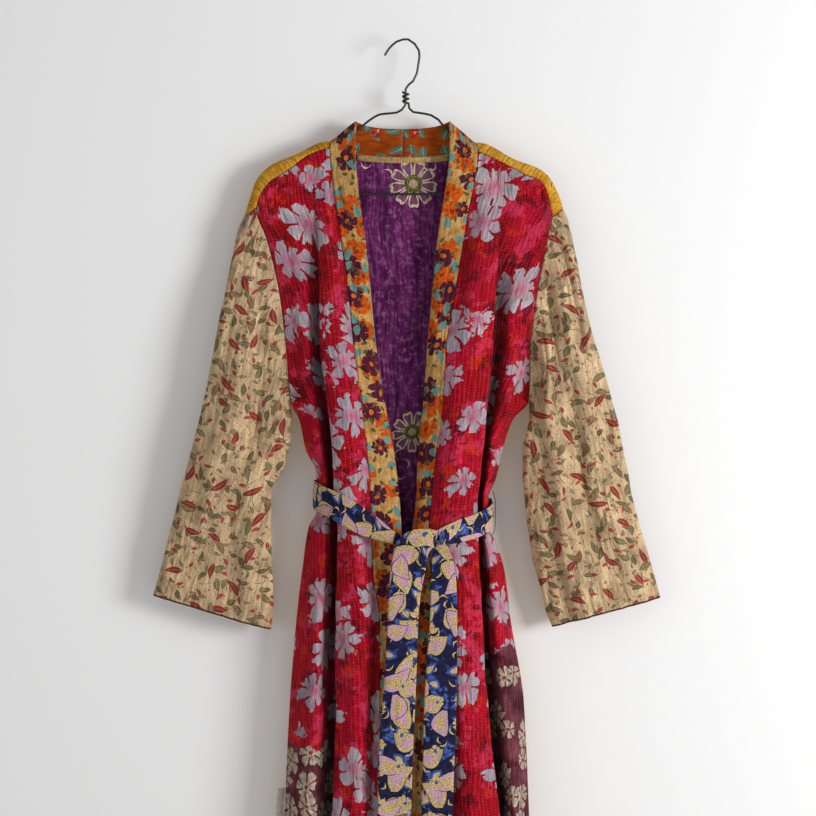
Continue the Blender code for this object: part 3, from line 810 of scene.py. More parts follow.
# %% Neckband
BAND_ROLL = 4.0     # how far its middle rolls forward on the fronts
BAND_ACROSS = 3.0   # between two points of a rung
CORNER_WAY = (0.85, -0.3, 0.42)     # how the band leaves the neck's corner, outward first
BAND_NECK = table("""
part   free  depth   drop
   0      0     12    123
 0.3    -26     12    122
 0.6    -48      9    119
 0.8    -59      5    116
   1    -65     -1    114
""")


def band_grid(front, rows, side):
    """Half of the neckband: rungs from the back neck's middle over the shoulder to the hem.

    A rung runs from the seam, which is the panels' own edge moved on by the gap, first in
    line with the panel and then to the band's free edge.
    """
    crest = back[LAP_ROWS]
    neck, middle = (NECK_LEFT if side < 0 else NECK_RIGHT), len(BACK_COLUMNS) // 2
    order = list(range(middle, neck - side, side))
    order += [neck] * (order[-1] != neck)
    part = np.abs(crest[order, 0] / crest[neck, 0])
    over = back[1:LAP_ROWS][::-1]
    seam = np.concatenate([crest[order], over[:, neck], front[:, 0]])
    inside = np.concatenate([back[LAP_ROWS + 1, order], over[:, neck + side], front[:, 1]])
    ways = leaving(seam, inside)
    ways[len(order) - 1] = (-side * CORNER_WAY[0], *CORNER_WAY[1:])
    seam[0, 0] = side * GAP / 2
    free = [np.stack([
        side * np.maximum(GAP / 2, -curve(BAND_NECK["part"], BAND_NECK["free"], part)),
        curve(BAND_NECK["part"], BAND_NECK["depth"], part),
        -curve(BAND_NECK["part"], BAND_NECK["drop"], part),
    ], axis=-1)]
    drop = -seam[len(order):, 2]
    ahead = column(rows, "ahead", drop)
    free.append(grid(column(rows, "free", drop), column(rows, "depth", drop), drop - ahead))
    free = np.concatenate(free)
    space = np.where(np.arange(len(seam)) < len(order), NECK_GAP, GAP)[:, None]
    start, run = seam + space * ways, seam + (space + RUN) * ways
    middle = run * 0.5 + free * 0.5
    middle[:, 1] -= BAND_ROLL * np.clip((-middle[:, 2] - 170) / 150, 0, 1)
    rungs = np.stack([start, run, middle, free])
    return np.swapaxes(finer(rungs, BAND_ACROSS), 0, 1)


bands = [band_grid(fronts[0], BAND_LEFT, -1), band_grid(fronts[1], BAND_RIGHT, 1)]
print("neckband grids", bands[0].shape, bands[1].shape)

# %% [markdown]
# ## The belt
#
# One long strip of another cloth. Round the waist it is bunched to about two thirds of its
# width. At the knot one end comes over the top in an arch and hangs as the left tail, and
# the other comes from behind and hangs as the right tail. A cloth simulation could tie it,
# but three strips along measured lines keep the knot where it is on the real robe.

# %% Line of the belt round the waist
WRAP = table("""
     x  depth  drop  width
    -5    -66   696     13
   -20    -65   689     19
   -40    -63   679     30
   -62  -59.5   667     36
   -80    -55   656     37
   -96    -47   648     37
  -110    -36   642     37
-119.5    -20   637     37
-122.7     -3   635     37
  -121     11   634     37
  -109   19.8   634     38
   -70   20.7   636     40
     0   20.7   642     40
    70   20.7   650     40
   108   19.8   656     38
   121   11.5   660     36
 124.5     -3   664     35
   122    -20   668     34
   114    -36   672     33
    99  -48.8   678     32
    82  -56.3   683     31
    66  -59.5   688     27
    50    -64   692     20
""")
print("belt's width round the waist", WRAP["width"].min(), "to", WRAP["width"].max(), "mm")

# %% Edges of the knot and the tails
KNOT = table("""
inner  inner_drop  outer  outer_drop  depth
   46         705     48         683  -66.3
   42         706     34         680    -71
   39         708     17         681    -74
   37         711      4         686    -75
   35         716     -5         694    -74
   34         724    -11         707    -72
   31         740    -15         728    -70
   26         764    -18         760    -68
   22         800    -20         800    -68
   20         860    -23         860    -70
   17         930    -28         930    -72
   14        1000    -33        1000    -72
   12        1080    -34        1080    -72
   11        1160    -35        1160    -72
   10        1246    -36        1246    -72
""")
TAIL = table("""
left   left_drop  right  right_drop  depth
  44         690     56         687  -56.9
  42         708     62         704  -57.9
  40         730     70         728    -64
  39         760     74         758    -68
  38         800     75         800    -69
  34         850     75         850    -70
  30         920     74         920    -71
  28        1000     71        1000    -72
  26        1090     68        1090    -73
  24        1170     66        1170    -73
  23        1250     65        1250    -73
""")
print("tails end", KNOT["outer_drop"][-1], "and", TAIL["right_drop"][-1], "mm below the hook")

# %% [markdown]
# ### The belt's grids
#
# Each strip is a ladder of rungs between two edges, with a small bow across it, as a folded
# strip has. Round the waist the belt stands on edge, so its rungs are square to the line
# that it follows and to the way outward.

# %% Grids of the belt
RUNG_COLUMNS = 17
RUNG = 4.0          # between two rungs
WRAP_BOW, KNOT_BOW, TAIL_BOW = 1.5, 1.5, 1.0


def rungs(first, second, bow):
    """A strip between two edges, bowed forward in its middle by a half sine."""
    across = np.linspace(0, 1, RUNG_COLUMNS)[None, :, None]
    points = first[:, None] * (1 - across) + second[:, None] * across
    points[..., 1] -= bow * np.sin(math.pi * across[..., 0])
    return points


def wrap_grid():
    """The belt's length round the waist: a strip on edge that follows the middle line."""
    line = np.stack([WRAP["x"], WRAP["depth"], -WRAP["drop"]], axis=-1)
    way = np.gradient(line, axis=0)
    way /= np.linalg.norm(way, axis=1, keepdims=True)
    outward = np.cross(way, (0, 0, 1))
    upward = np.cross(outward, way)
    upward /= np.linalg.norm(upward, axis=1, keepdims=True)
    reach = upward * WRAP["width"][:, None] / 2
    points = rungs(line + reach, line - reach, 0)
    bow = np.sin(math.pi * np.linspace(0, 1, RUNG_COLUMNS))[None, :, None]
    outward /= np.linalg.norm(outward, axis=1, keepdims=True)
    return finer(points - WRAP_BOW * bow * outward[:, None] * np.sign(outward[:1, 1:2]), RUNG)


wrap = wrap_grid()
knot = finer(rungs(
    np.stack([KNOT["inner"], KNOT["depth"], -KNOT["inner_drop"]], axis=-1),
    np.stack([KNOT["outer"], KNOT["depth"], -KNOT["outer_drop"]], axis=-1), KNOT_BOW,
), RUNG)
tail = finer(rungs(
    np.stack([TAIL["left"], TAIL["depth"], -TAIL["left_drop"]], axis=-1),
    np.stack([TAIL["right"], TAIL["depth"], -TAIL["right_drop"]], axis=-1), TAIL_BOW,
), RUNG)
print("belt grids", wrap.shape, knot.shape, tail.shape)

# %% [markdown]
# ## Ripples
#
# Hand quilting makes cloth hang in shallow, uneven ripples along the rows of stitch. They
# could be sculpted or simulated. Here they are smooth noise, stretched along the cloth,
# that moves each grid along its normals. It fades out at every seam, so that the pieces
# still meet.

# %% Noise, lengths and normals
LATTICE = 97        # cells after which the noise starts again


def noise(u, v, seed):
    """Smooth noise from -1 to 1: random values on a unit lattice, joined by cubic steps."""
    lattice = np.random.default_rng(seed).uniform(-1, 1, (LATTICE, LATTICE))
    i, j = np.floor(u).astype(int), np.floor(v).astype(int)
    f, g = u - i, v - j
    f, g = f * f * (3 - 2 * f), g * g * (3 - 2 * g)
    i, j, right, up = (k % LATTICE for k in (i, j, i + 1, j + 1))
    near = lattice[i, j] * (1 - f) + lattice[right, j] * f
    far = lattice[i, up] * (1 - f) + lattice[right, up] * f
    return near * (1 - g) + far * g


def lengths(points, axis):
    """Distance along the rows (axis 1) or the columns (axis 0) of a grid."""
    steps = np.linalg.norm(np.diff(points, axis=axis), axis=-1)
    start = np.zeros_like(steps[:, :1] if axis else steps[:1])
    return np.concatenate([start, np.cumsum(steps, axis=axis)], axis=axis)


def squares(points, outward):
    """Unit normals of a grid, on the side that outward is on for most of it."""
    found = np.cross(np.gradient(points, axis=0), np.gradient(points, axis=1))
    found /= np.maximum(np.linalg.norm(found, axis=-1, keepdims=True), 1e-9)
    return found if np.sum(found * outward) > 0 else -found


def fade(distance, width):
    """0 at a distance of 0, rising by a cubic step to 1 at the width."""
    f = np.clip(distance / width, 0, 1)
    return f * f * (3 - 2 * f)


print("noise at four places", np.round(noise(np.arange(4) + 0.5, np.zeros(4), 1), 2).tolist())

# %% Ripples of the quilted sheets
SEAM_FADE = 14.0    # from a seam to where the ripples are whole
WAIST = 668.0
QUILT = ((15, 80, 0.6), (30, 140, 0.95), (9, 30, 0.45))     # across, down, share
FINE_QUILT = ((20, 60, 0.6), (9, 30, 0.3))
FORWARD, BEHIND = np.array([0, -1, 0]), np.array([0, 1, 0])


def rippled(points, outward, height, sizes, seed, rows_too=True):
    """Moves a grid along its normals by stretched noise.

    sizes holds, for each layer, the noise's length across, its length down and its share.
    The height fades to nothing at the grid's sides, and at its top where rows_too is true.
    """
    u, v = lengths(points, 1), lengths(points, 0)
    total = sum(
        share * noise(u / across + 7 * k, v / down, seed + k)
        for k, (across, down, share) in enumerate(sizes)
    )
    edge = fade(np.minimum(u, u[:, -1:] - u), SEAM_FADE)
    if rows_too:
        edge = edge * fade(v, SEAM_FADE)
    return points + squares(points, outward) * (height * total * edge)[..., None]


def sleeve_quilt(coarse, fine):
    """The layers of a sleeve's ripples: creases along it, and two that swell widely."""
    return (13, 150, coarse), (9, 34, fine), (40, 60, 0.4), (58, 280, 1.5)


free_of_belt = 0.25 + 0.75 * fade(np.abs(-fronts[0][:, :1, 2] - WAIST) - 20, 60)
fronts = [
    rippled(front, FORWARD, 2.3 * free_of_belt, QUILT, 10 + k)
    for k, front in enumerate(fronts)
]
calm = fade(-back[LAP_ROWS:, :1, 2] - 185, 60) * (
    0.2 + 0.8 * fade(np.abs(-back[LAP_ROWS:, :1, 2] - WAIST) - 30, 60)
)
back[LAP_ROWS:] = rippled(back[LAP_ROWS:], BEHIND, 1.1 * calm, QUILT, 20)
for k, (sleeve, shares) in enumerate(zip(sleeves, ((0.9, 0.5), (1.7, 0.8)))):
    middle = sleeve.mean(axis=1, keepdims=True)
    ring = fade(lengths(sleeve, 0), 40)
    sleeves[k] = rippled(sleeve, sleeve - middle, 2.4 * ring, sleeve_quilt(*shares), 30 + k)
bands = [
    rippled(band, FORWARD, 0.7, FINE_QUILT, 40 + k, rows_too=False)
    for k, band in enumerate(bands)
]
print("ripples of the fronts, back, sleeves and neckband added")


# %% Creases of the belt
def creases(points, height, across, down, seed):
    """Ridges along a strip: the noise without its sign, times the height."""
    return height * np.abs(noise(lengths(points, 1) / across, lengths(points, 0) / down, seed))


knot[:, :, 1] -= creases(knot, 1.2, 9, 140, 51)
tail[:, :, 1] -= creases(tail, 1.0, 12, 160, 52)
wrap_out = squares(wrap, wrap - wrap.mean(axis=(0, 1)))
wrap += wrap_out * creases(wrap, 1.5, 7, 90, 53)[..., None]
print("creases of the belt added")

# %% [markdown]
# ## From grid to sheet
#
# A grid becomes a mesh of four-sided faces, and Solidify gives it the cloth's real
# thickness, with the printed side and the lining as two materials. The UV map holds the
# cloth's own metres, so that a print isn't stretched where the sheet turns or folds.


# %% Meshes of the sheets
def sheet_mesh(name, points, u, v, thickness, finishes, outward, keep=None, edge=None):
    """A sheet with its thickness on both sides of a grid, and its UV map in metres.

    u and v have one column more than the grid where the sheet is a closed tube. edge, if
    given, goes into a second UV map: how far a sleeve's cloth is from its cuff, or how deep
    in the fold a front's cloth lies. The faces are turned so that most look outward.
    """
    rows, columns = points.shape[:2]
    wide = u.shape[1]
    corners = np.array([(0, 0), (1, 0), (1, 1), (0, 1)])
    cell = np.stack(np.meshgrid(np.arange(rows - 1), np.arange(wide - 1), indexing="ij"), -1)
    cell = cell[keep] if keep is not None else cell.reshape(-1, 2)
    place = cell[:, None] + corners
    sides = points[:, [*range(columns), 0][:wide]]
    normal = np.cross(sides[1:, :-1] - sides[:-1, 1:], sides[1:, 1:] - sides[:-1, :-1])
    way = outward if np.ndim(outward) == 1 else outward[:-1, : columns - 1]
    if np.sum(normal[:, : columns - 1] * way) < 0:
        place = place[:, ::-1]
    corner = place[..., 0] * columns + place[..., 1] % columns
    used, corner = np.unique(corner, return_inverse=True)
    mesh = bpy.data.meshes.new(name)
    mesh.from_pydata(
        (points.reshape(-1, 3)[used] * MM).tolist(), [], corner.reshape(-1, 4).tolist()
    )
    row, side = place.reshape(-1, 2).T
    for layer, first, second in (("cloth", u, v), ("edge", u, edge)):
        if second is not None:
            flat = np.stack([first[row, side], second[row, side]], axis=-1) * MM
            mesh.uv_layers.new(name=layer).data.foreach_set("uv", flat.astype(np.float32).ravel())
    mesh.shade_smooth()
    made = bpy.data.objects.new(name, mesh)
    bpy.context.scene.collection.objects.link(made)
    for finish in finishes:
        mesh.materials.append(finish)
    wall = made.modifiers.new("wall", "SOLIDIFY")
    wall.thickness = thickness * MM
    wall.offset = 0
    wall.material_offset = len(finishes) - 1
    return made


def area(points, keep=None):
    """A grid's area in square metres: half the cross product of each cell's diagonals."""
    first = points[1:, 1:] - points[:-1, :-1]
    second = points[1:, :-1] - points[:-1, 1:]
    cells = np.linalg.norm(np.cross(first, second), axis=-1) / 2
    return float((cells if keep is None else cells[keep]).sum()) * MM * MM


for name, points in (("front_left", fronts[0]), ("front_right", fronts[1]), ("back", back),
                     ("sleeve_left", sleeves[0]), ("sleeve_right", sleeves[1]),
                     ("neckband_left", bands[0]), ("neckband_right", bands[1]),
                     ("belt_wrap", wrap), ("belt_knot", knot), ("belt_tail", tail)):
    print(name, "area", round(area(points), 4), "m2, across",
          round(float(lengths(points, 1)[:, -1].mean())), "mm, along",
          round(float(lengths(points, 0)[-1].mean())), "mm")

# %% [markdown]
# ## Node helpers
#
# A print could be painted or tiled from a picture. Here it is worked out by nodes, in the
# cloth's own millimetres, so that it is sharp at any size. A few short helpers put nodes
# and links in place, so that each print reads as a list of what it shows.


# %% Helpers for nodes
def put(tree, value, socket):
    """Joins an output to a socket, or sets the socket's own value."""
    if isinstance(value, bpy.types.NodeSocket):
        tree.links.new(value, socket)
    elif value is not None:
        socket.default_value = value


def add(tree, kind, values=(), **settings):
    """A node of a kind, with settings, and its inputs by number or by name."""
    made = tree.nodes.new("ShaderNode" + kind)
    for name, value in settings.items():
        setattr(made, name, value)
    for key, value in values.items() if isinstance(values, dict) else enumerate(values):
        put(tree, value, made.inputs[key])
    return made


def calc(tree, operation, *values):
    """One step of arithmetic on numbers."""
    return add(tree, "Math", values, operation=operation).outputs[0]


def vector(tree, operation, *values, out=0, **named):
    """One step of arithmetic on vectors; out is 1 for a length."""
    made = add(tree, "VectorMath", values, operation=operation)
    for name, value in named.items():
        put(tree, value, made.inputs[name])
    return made.outputs[out]


def mix(tree, mask, first, second):
    """first where the mask is 0 and second where it is 1."""
    made = add(tree, "Mix", {0: mask, 6: first, 7: second}, data_type="RGBA")
    return made.outputs[2]


def both(tree, *masks):
    """1 where every mask is 1: their product."""
    found = masks[0]
    for other in masks[1:]:
        found = calc(tree, "MULTIPLY", found, other)
    return found


def inside(tree, value, low, high):
    """1 where a value lies between two limits."""
    return both(
        tree, calc(tree, "GREATER_THAN", value, low), calc(tree, "LESS_THAN", value, high)
    )


print("node helpers ready")


# %% Helpers for groups and colours
def group(name, inputs, outputs):
    """An empty shader group with its sockets: inputs by name and default, outputs by name."""
    tree = bpy.data.node_groups.new(name, "ShaderNodeTree")
    for label, value in inputs.items():
        kind = "NodeSocketVector" if isinstance(value, tuple) else "NodeSocketFloat"
        socket = tree.interface.new_socket(label, in_out="INPUT", socket_type=kind)
        socket.default_value = value
    for label in outputs:
        kind = "NodeSocketVector" if label in ("Offset", "Place") else "NodeSocketFloat"
        tree.interface.new_socket(label, in_out="OUTPUT", socket_type=kind)
    given, result = tree.nodes.new("NodeGroupInput"), tree.nodes.new("NodeGroupOutput")
    return tree, given.outputs, result.inputs


def use(tree, name, **values):
    """The outputs of a group placed in a material, with its inputs set by name."""
    made = tree.nodes.new("ShaderNodeGroup")
    made.node_tree = bpy.data.node_groups[name]
    for key, value in values.items():
        put(tree, value, made.inputs[key])
    return made.outputs


def srgb(red, green, blue):
    """A colour from 0 to 255 as a linear colour, by the sRGB curve."""
    values = np.array([red, green, blue]) / 255
    low, high = values / 12.92, ((values + 0.055) / 1.055) ** 2.4
    return (*np.where(values < 0.04045, low, high).tolist(), 1)


print("middle grey as a linear value", round(srgb(119, 119, 119)[0], 3))

# %% [markdown]
# ## Motifs
#
# Printed motifs stand at loose distances from each other and each is turned its own way.
# Voronoi cells do the same: the group "scatter" gives each point its offset from the
# nearest cell's centre, with a turn and a random number for each cell. The groups "bloom"
# and "leaf" then draw one motif about that centre from a formula.

# %% Scatter group
# The place is divided by the cell's size, moved on by the seed and warped by noise. The
# offset is that place less the centre of the nearest cell, in millimetres again.
tree, given, result = group(
    "scatter", {"Place": (0, 0, 0), "Cell": 30.0, "Share": 1.0, "Seed": 0.0, "Warp": 0.3},
    ["Offset", "Turn", "Random", "Here"],
)
shrunk = vector(tree, "SCALE", given["Place"], Scale=calc(tree, "DIVIDE", 1, given["Cell"]))
shift = add(tree, "CombineXYZ", [
    calc(tree, "MULTIPLY", given["Seed"], 7.31), calc(tree, "MULTIPLY", given["Seed"], 3.17), 0
]).outputs[0]
shrunk = vector(tree, "ADD", shrunk, shift)
wavy = add(tree, "TexNoise", {"Vector": shrunk, "Scale": 1.6, "Detail": 1.0}).outputs["Color"]
wavy = vector(tree, "SUBTRACT", wavy, (0.5, 0.5, 0.5))
wavy = vector(tree, "SCALE", vector(tree, "MULTIPLY", wavy, (1, 1, 0)), Scale=given["Warp"])
shrunk = vector(tree, "ADD", shrunk, wavy)
cells = add(
    tree, "TexVoronoi", {"Vector": shrunk, "Scale": 1.0, "Randomness": 0.62},
    voronoi_dimensions="2D",
)
offset = vector(tree, "SUBTRACT", shrunk, cells.outputs["Position"])
put(tree, vector(tree, "SCALE", offset, Scale=given["Cell"]), result["Offset"])
parts = add(tree, "SeparateColor", [cells.outputs["Color"]]).outputs
put(tree, calc(tree, "MULTIPLY", parts[0], 2 * math.pi), result["Turn"])
put(tree, parts[1], result["Random"])
put(tree, calc(tree, "LESS_THAN", parts[2], given["Share"]), result["Here"])
print("scatter gives", [socket.name for socket in result][:-1])

# %% Bloom group
# A bloom of n petals: r < R (lobe + (1.08 - lobe) (1 - (1 - s)^2) - 0.08 s^6) with
# s = |sin(n angle / 2)|. Two petals are parted where the distance to the line between
# them, 2 r s / n, is less than the gap, which widens outwards from the radius "Joined".
# Each petal has its own length, and the outline is roughened by noise.
tree, given, result = group(
    "bloom", {"Offset": (0, 0, 0), "Turn": 0.0, "Petals": 6.0, "Radius": 10.0, "Gap": 1.0,
              "Eye": 2.0, "Lobe": 0.86, "Joined": 0.0, "Uneven": 0.0},
    ["Petal", "Eye", "Radial"],
)
x, y, _z = add(tree, "SeparateXYZ", [given["Offset"]]).outputs
own = calc(tree, "MULTIPLY", given["Turn"], 40.0)
moved = vector(tree, "ADD", given["Offset"], add(tree, "CombineXYZ", [own, own, 0]).outputs[0])
rough = add(tree, "TexNoise", {"Vector": moved, "Scale": 0.14, "Detail": 3.0}).outputs["Fac"]
rough = calc(tree, "MULTIPLY", calc(tree, "SUBTRACT", rough, 0.5), given["Uneven"])
r = calc(tree, "MULTIPLY", vector(tree, "LENGTH", given["Offset"], out=1),
         calc(tree, "MULTIPLY_ADD", rough, 1.6, 1))
angle = calc(tree, "ADD", calc(tree, "ARCTAN2", y, x), given["Turn"])
wave = calc(tree, "MULTIPLY", angle, calc(tree, "MULTIPLY", given["Petals"], 0.5))
s = calc(tree, "ABSOLUTE", calc(tree, "SINE", wave))
index = calc(tree, "FLOOR", calc(tree, "DIVIDE", wave, math.pi))
index = calc(tree, "FLOORED_MODULO", calc(tree, "ADD", index, 0.5), given["Petals"])
length = add(tree, "TexWhiteNoise", {"W": calc(tree, "ADD", calc(tree, "FLOOR", index), own)},
             noise_dimensions="1D").outputs["Value"]
length = calc(tree, "MULTIPLY", length, given["Uneven"])
rise = calc(tree, "SUBTRACT", 1, calc(tree, "POWER", calc(tree, "SUBTRACT", 1, s), 2))
reach = calc(tree, "MULTIPLY", rise, calc(tree, "SUBTRACT", 1.08, given["Lobe"]))
reach = calc(tree, "ADD", reach, given["Lobe"])
reach = calc(tree, "MULTIPLY_ADD", calc(tree, "POWER", s, 6), -0.08, reach)
reach = calc(tree, "MULTIPLY", reach, calc(tree, "SUBTRACT", 1.08, length))
radial = calc(tree, "DIVIDE", r, given["Radius"])
apart = calc(tree, "DIVIDE", calc(tree, "MULTIPLY", calc(tree, "MULTIPLY", r, s), 2),
             given["Petals"])
parted = calc(tree, "GREATER_THAN", apart, calc(
    tree, "MULTIPLY", given["Gap"], calc(tree, "MULTIPLY_ADD", radial, 0.8, 0.5)))
parted = calc(tree, "MAXIMUM", parted, calc(tree, "LESS_THAN", radial, given["Joined"]))
petal = both(
    tree, calc(tree, "LESS_THAN", radial, reach), calc(tree, "GREATER_THAN", r, given["Eye"]),
    parted,
)
put(tree, petal, result["Petal"])
put(tree, calc(tree, "LESS_THAN", r, given["Eye"]), result["Eye"])
put(tree, radial, result["Radial"])
print("bloom gives", [socket.name for socket in result][:-1])

# %% Leaf group
# A leaf: |y + bend x^2 / L| < W (1 - (x / L)^2) (1 - 0.35 x / L), turned about its centre.
tree, given, result = group(
    "leaf", {"Offset": (0, 0, 0), "Turn": 0.0, "Length": 6.0, "Width": 2.0, "Bend": 0.0},
    ["Leaf", "Vein"],
)
turned = add(tree, "VectorRotate", {"Vector": given["Offset"], "Angle": given["Turn"]},
             rotation_type="Z_AXIS").outputs[0]
x, y, _z = add(tree, "SeparateXYZ", [turned]).outputs
along = calc(tree, "DIVIDE", x, given["Length"])
bent = calc(tree, "MULTIPLY", calc(tree, "MULTIPLY", along, x), given["Bend"])
off = calc(tree, "ABSOLUTE", calc(tree, "ADD", y, bent))
full = calc(tree, "SUBTRACT", 1, calc(tree, "MULTIPLY", along, along))
full = calc(tree, "MULTIPLY", full, calc(tree, "MULTIPLY_ADD", along, -0.35, 1))
leaf = calc(tree, "LESS_THAN", off, calc(tree, "MULTIPLY", full, given["Width"]))
leaf = both(tree, leaf, calc(tree, "LESS_THAN", calc(tree, "ABSOLUTE", along), 1))
put(tree, leaf, result["Leaf"])
vein = calc(tree, "LESS_THAN", off, calc(tree, "MULTIPLY", full, calc(
    tree, "MULTIPLY", given["Width"], 0.22)))
put(tree, both(tree, leaf, vein), result["Vein"])
print("motif groups", [made.name for made in bpy.data.node_groups])

# %% [markdown]
# ## Stitching and wear
#
# The quilting thread goes in and out every few millimetres, in rows about 6 mm apart that
# no hand keeps quite straight. Each row pulls a shallow valley. Between them the cloth
# stands up in small ripples that run along the rows. Long wear bleaches it unevenly.

# %% Stitches group
# A stitch lies where the distance to a row's middle is less than half the thread, in the
# first half of each pitch along the row. A valley is (distance / half a row) ^ 0.6.
tree, given, result = group(
    "stitches", {"Place": (0, 0, 0), "Row": 6.0, "Pitch": 4.0, "Thread": 0.55},
    ["Stitch", "Valley"],
)
sway = add(tree, "TexNoise", {"Vector": given["Place"], "Scale": 0.016, "Detail": 2.0})
x, y, _z = add(tree, "SeparateXYZ", [given["Place"]]).outputs
x = calc(tree, "MULTIPLY_ADD", sway.outputs["Fac"], 11.0, x)
row = calc(tree, "DIVIDE", x, given["Row"])
number = calc(tree, "FLOOR", row)
away = calc(tree, "ABSOLUTE", calc(tree, "SUBTRACT", calc(tree, "SUBTRACT", row, number), 0.5))
away = calc(tree, "MULTIPLY", away, given["Row"])
start = add(tree, "TexWhiteNoise", {"W": number}, noise_dimensions="1D").outputs["Value"]
step = calc(tree, "FRACT", calc(tree, "ADD", calc(tree, "DIVIDE", y, given["Pitch"]), start))
half = calc(tree, "MULTIPLY", given["Thread"], 0.5)
stitch = both(tree, calc(tree, "LESS_THAN", away, half), calc(tree, "LESS_THAN", step, 0.5))
put(tree, stitch, result["Stitch"])
dip = calc(tree, "DIVIDE", away, calc(tree, "MULTIPLY", given["Row"], 0.5))
put(tree, calc(tree, "MINIMUM", calc(tree, "POWER", dip, 0.6), 1), result["Valley"])
print("stitches give", [socket.name for socket in result][:-1])

# %% Puckers and wear groups
# Puckers are noise of the place divided by a size across and a size along the rows. Wear is
# noise of the place divided by one size, and runs from Low to High.
tree, given, result = group(
    "puckers", {"Place": (0, 0, 0), "Across": 5.0, "Along": 22.0}, ["Height"],
)
small = add(tree, "CombineXYZ", [
    calc(tree, "DIVIDE", 1, given["Across"]), calc(tree, "DIVIDE", 1, given["Along"]), 0
]).outputs[0]
small = vector(tree, "MULTIPLY", given["Place"], small)
height = add(tree, "TexNoise", {"Vector": small, "Scale": 1.0, "Detail": 3.0, "Roughness": 0.6,
                                "Distortion": 0.9})
put(tree, height.outputs["Fac"], result["Height"])

tree, given, result = group(
    "wear", {"Place": (0, 0, 0), "Size": 60.0, "Low": 0.8, "High": 1.1}, ["Tone"],
)
wide = vector(tree, "SCALE", given["Place"], Scale=calc(tree, "DIVIDE", 1, given["Size"]))
patchy = add(tree, "TexNoise", {"Vector": wide, "Scale": 1.0, "Detail": 6.0, "Roughness": 0.6})
put(tree, add(tree, "MapRange", [
    patchy.outputs["Fac"], 0.3, 0.7, given["Low"], given["High"]
]).outputs[0], result["Tone"])
print("cloth groups ready", len(bpy.data.node_groups))

# %% [markdown]
# ## Inks and the finished cloth
#
# A block printer lays one ink over another. The helpers below do the same with masks:
# flowers, leaves, fine speckle and slow clouds of colour. The last one makes the finished
# cloth: it bleaches the print unevenly, paints shade into the furrows between ripples and
# light onto their tops, adds the thread, and gives the surface a bump for stitches, puckers
# and weave.


# %% Flowers and leaves
def flowers(tree, place, seed, cell, radius, petals, gap, eye, share=1.0, spread=0.3,
            lobe=0.86, joined=0.0, uneven=0.25):
    """Petal and eye masks, the share of the radius and a random number for each flower."""
    at = use(tree, "scatter", Place=place, Cell=cell, Share=share, Seed=seed)
    size = calc(tree, "MULTIPLY_ADD", at["Random"], radius * spread, radius * (1 - spread / 2))
    form = use(tree, "bloom", Offset=at["Offset"], Turn=at["Turn"], Petals=petals,
               Radius=size, Gap=gap, Eye=eye, Lobe=lobe, Joined=joined, Uneven=uneven)
    return (both(tree, form["Petal"], at["Here"]), both(tree, form["Eye"], at["Here"]),
            form["Radial"], at["Random"])


def leaves(tree, place, seed, cell, length, width, share=1.0, bend=0.2):
    """Leaf and vein masks."""
    at = use(tree, "scatter", Place=place, Cell=cell, Share=share, Seed=seed, Warp=0.1)
    size = calc(tree, "MULTIPLY_ADD", at["Random"], length * 0.5, length * 0.75)
    form = use(tree, "leaf", Offset=at["Offset"], Turn=at["Turn"], Length=size, Width=width,
               Bend=bend)
    return both(tree, form["Leaf"], at["Here"]), both(tree, form["Vein"], at["Here"])


print("flowers and leaves ready")


# %% Speckle and clouds
def speckle(tree, place, size, level):
    """Mask of the spots of a fine noise above a level."""
    fine = vector(tree, "SCALE", place, Scale=1 / size)
    spots = add(tree, "TexNoise", {"Vector": fine, "Scale": 1.0, "Detail": 3.0,
                                   "Roughness": 0.7}).outputs["Fac"]
    return add(tree, "MapRange", [spots, level, level + 0.05, 0, 1]).outputs[0]


def cloudy(tree, place, size, first, second, stretch=1.0):
    """A colour that drifts between two, in clouds of a size, longer down the cloth."""
    drift = vector(tree, "MULTIPLY", place, (1 / size, 1 / (size * stretch), 0))
    value = add(tree, "TexNoise", {"Vector": drift, "Scale": 1.0, "Detail": 4.0,
                                   "Roughness": 0.55}).outputs["Fac"]
    return mix(tree, add(tree, "MapRange", [value, 0.38, 0.62, 0, 1]).outputs[0], first, second)


print("speckle and clouds ready")

# %% The finished cloth
DEEPEST = 0.0048    # in metres, from a furrow's floor to a ripple's top in the bump
WHITE_THREAD = srgb(214, 200, 190)


def material(name):
    """A new material, its node tree and its shader."""
    finish = bpy.data.materials.new(name)
    finish.use_nodes = True
    return finish, finish.node_tree, finish.node_tree.nodes["Principled BSDF"]


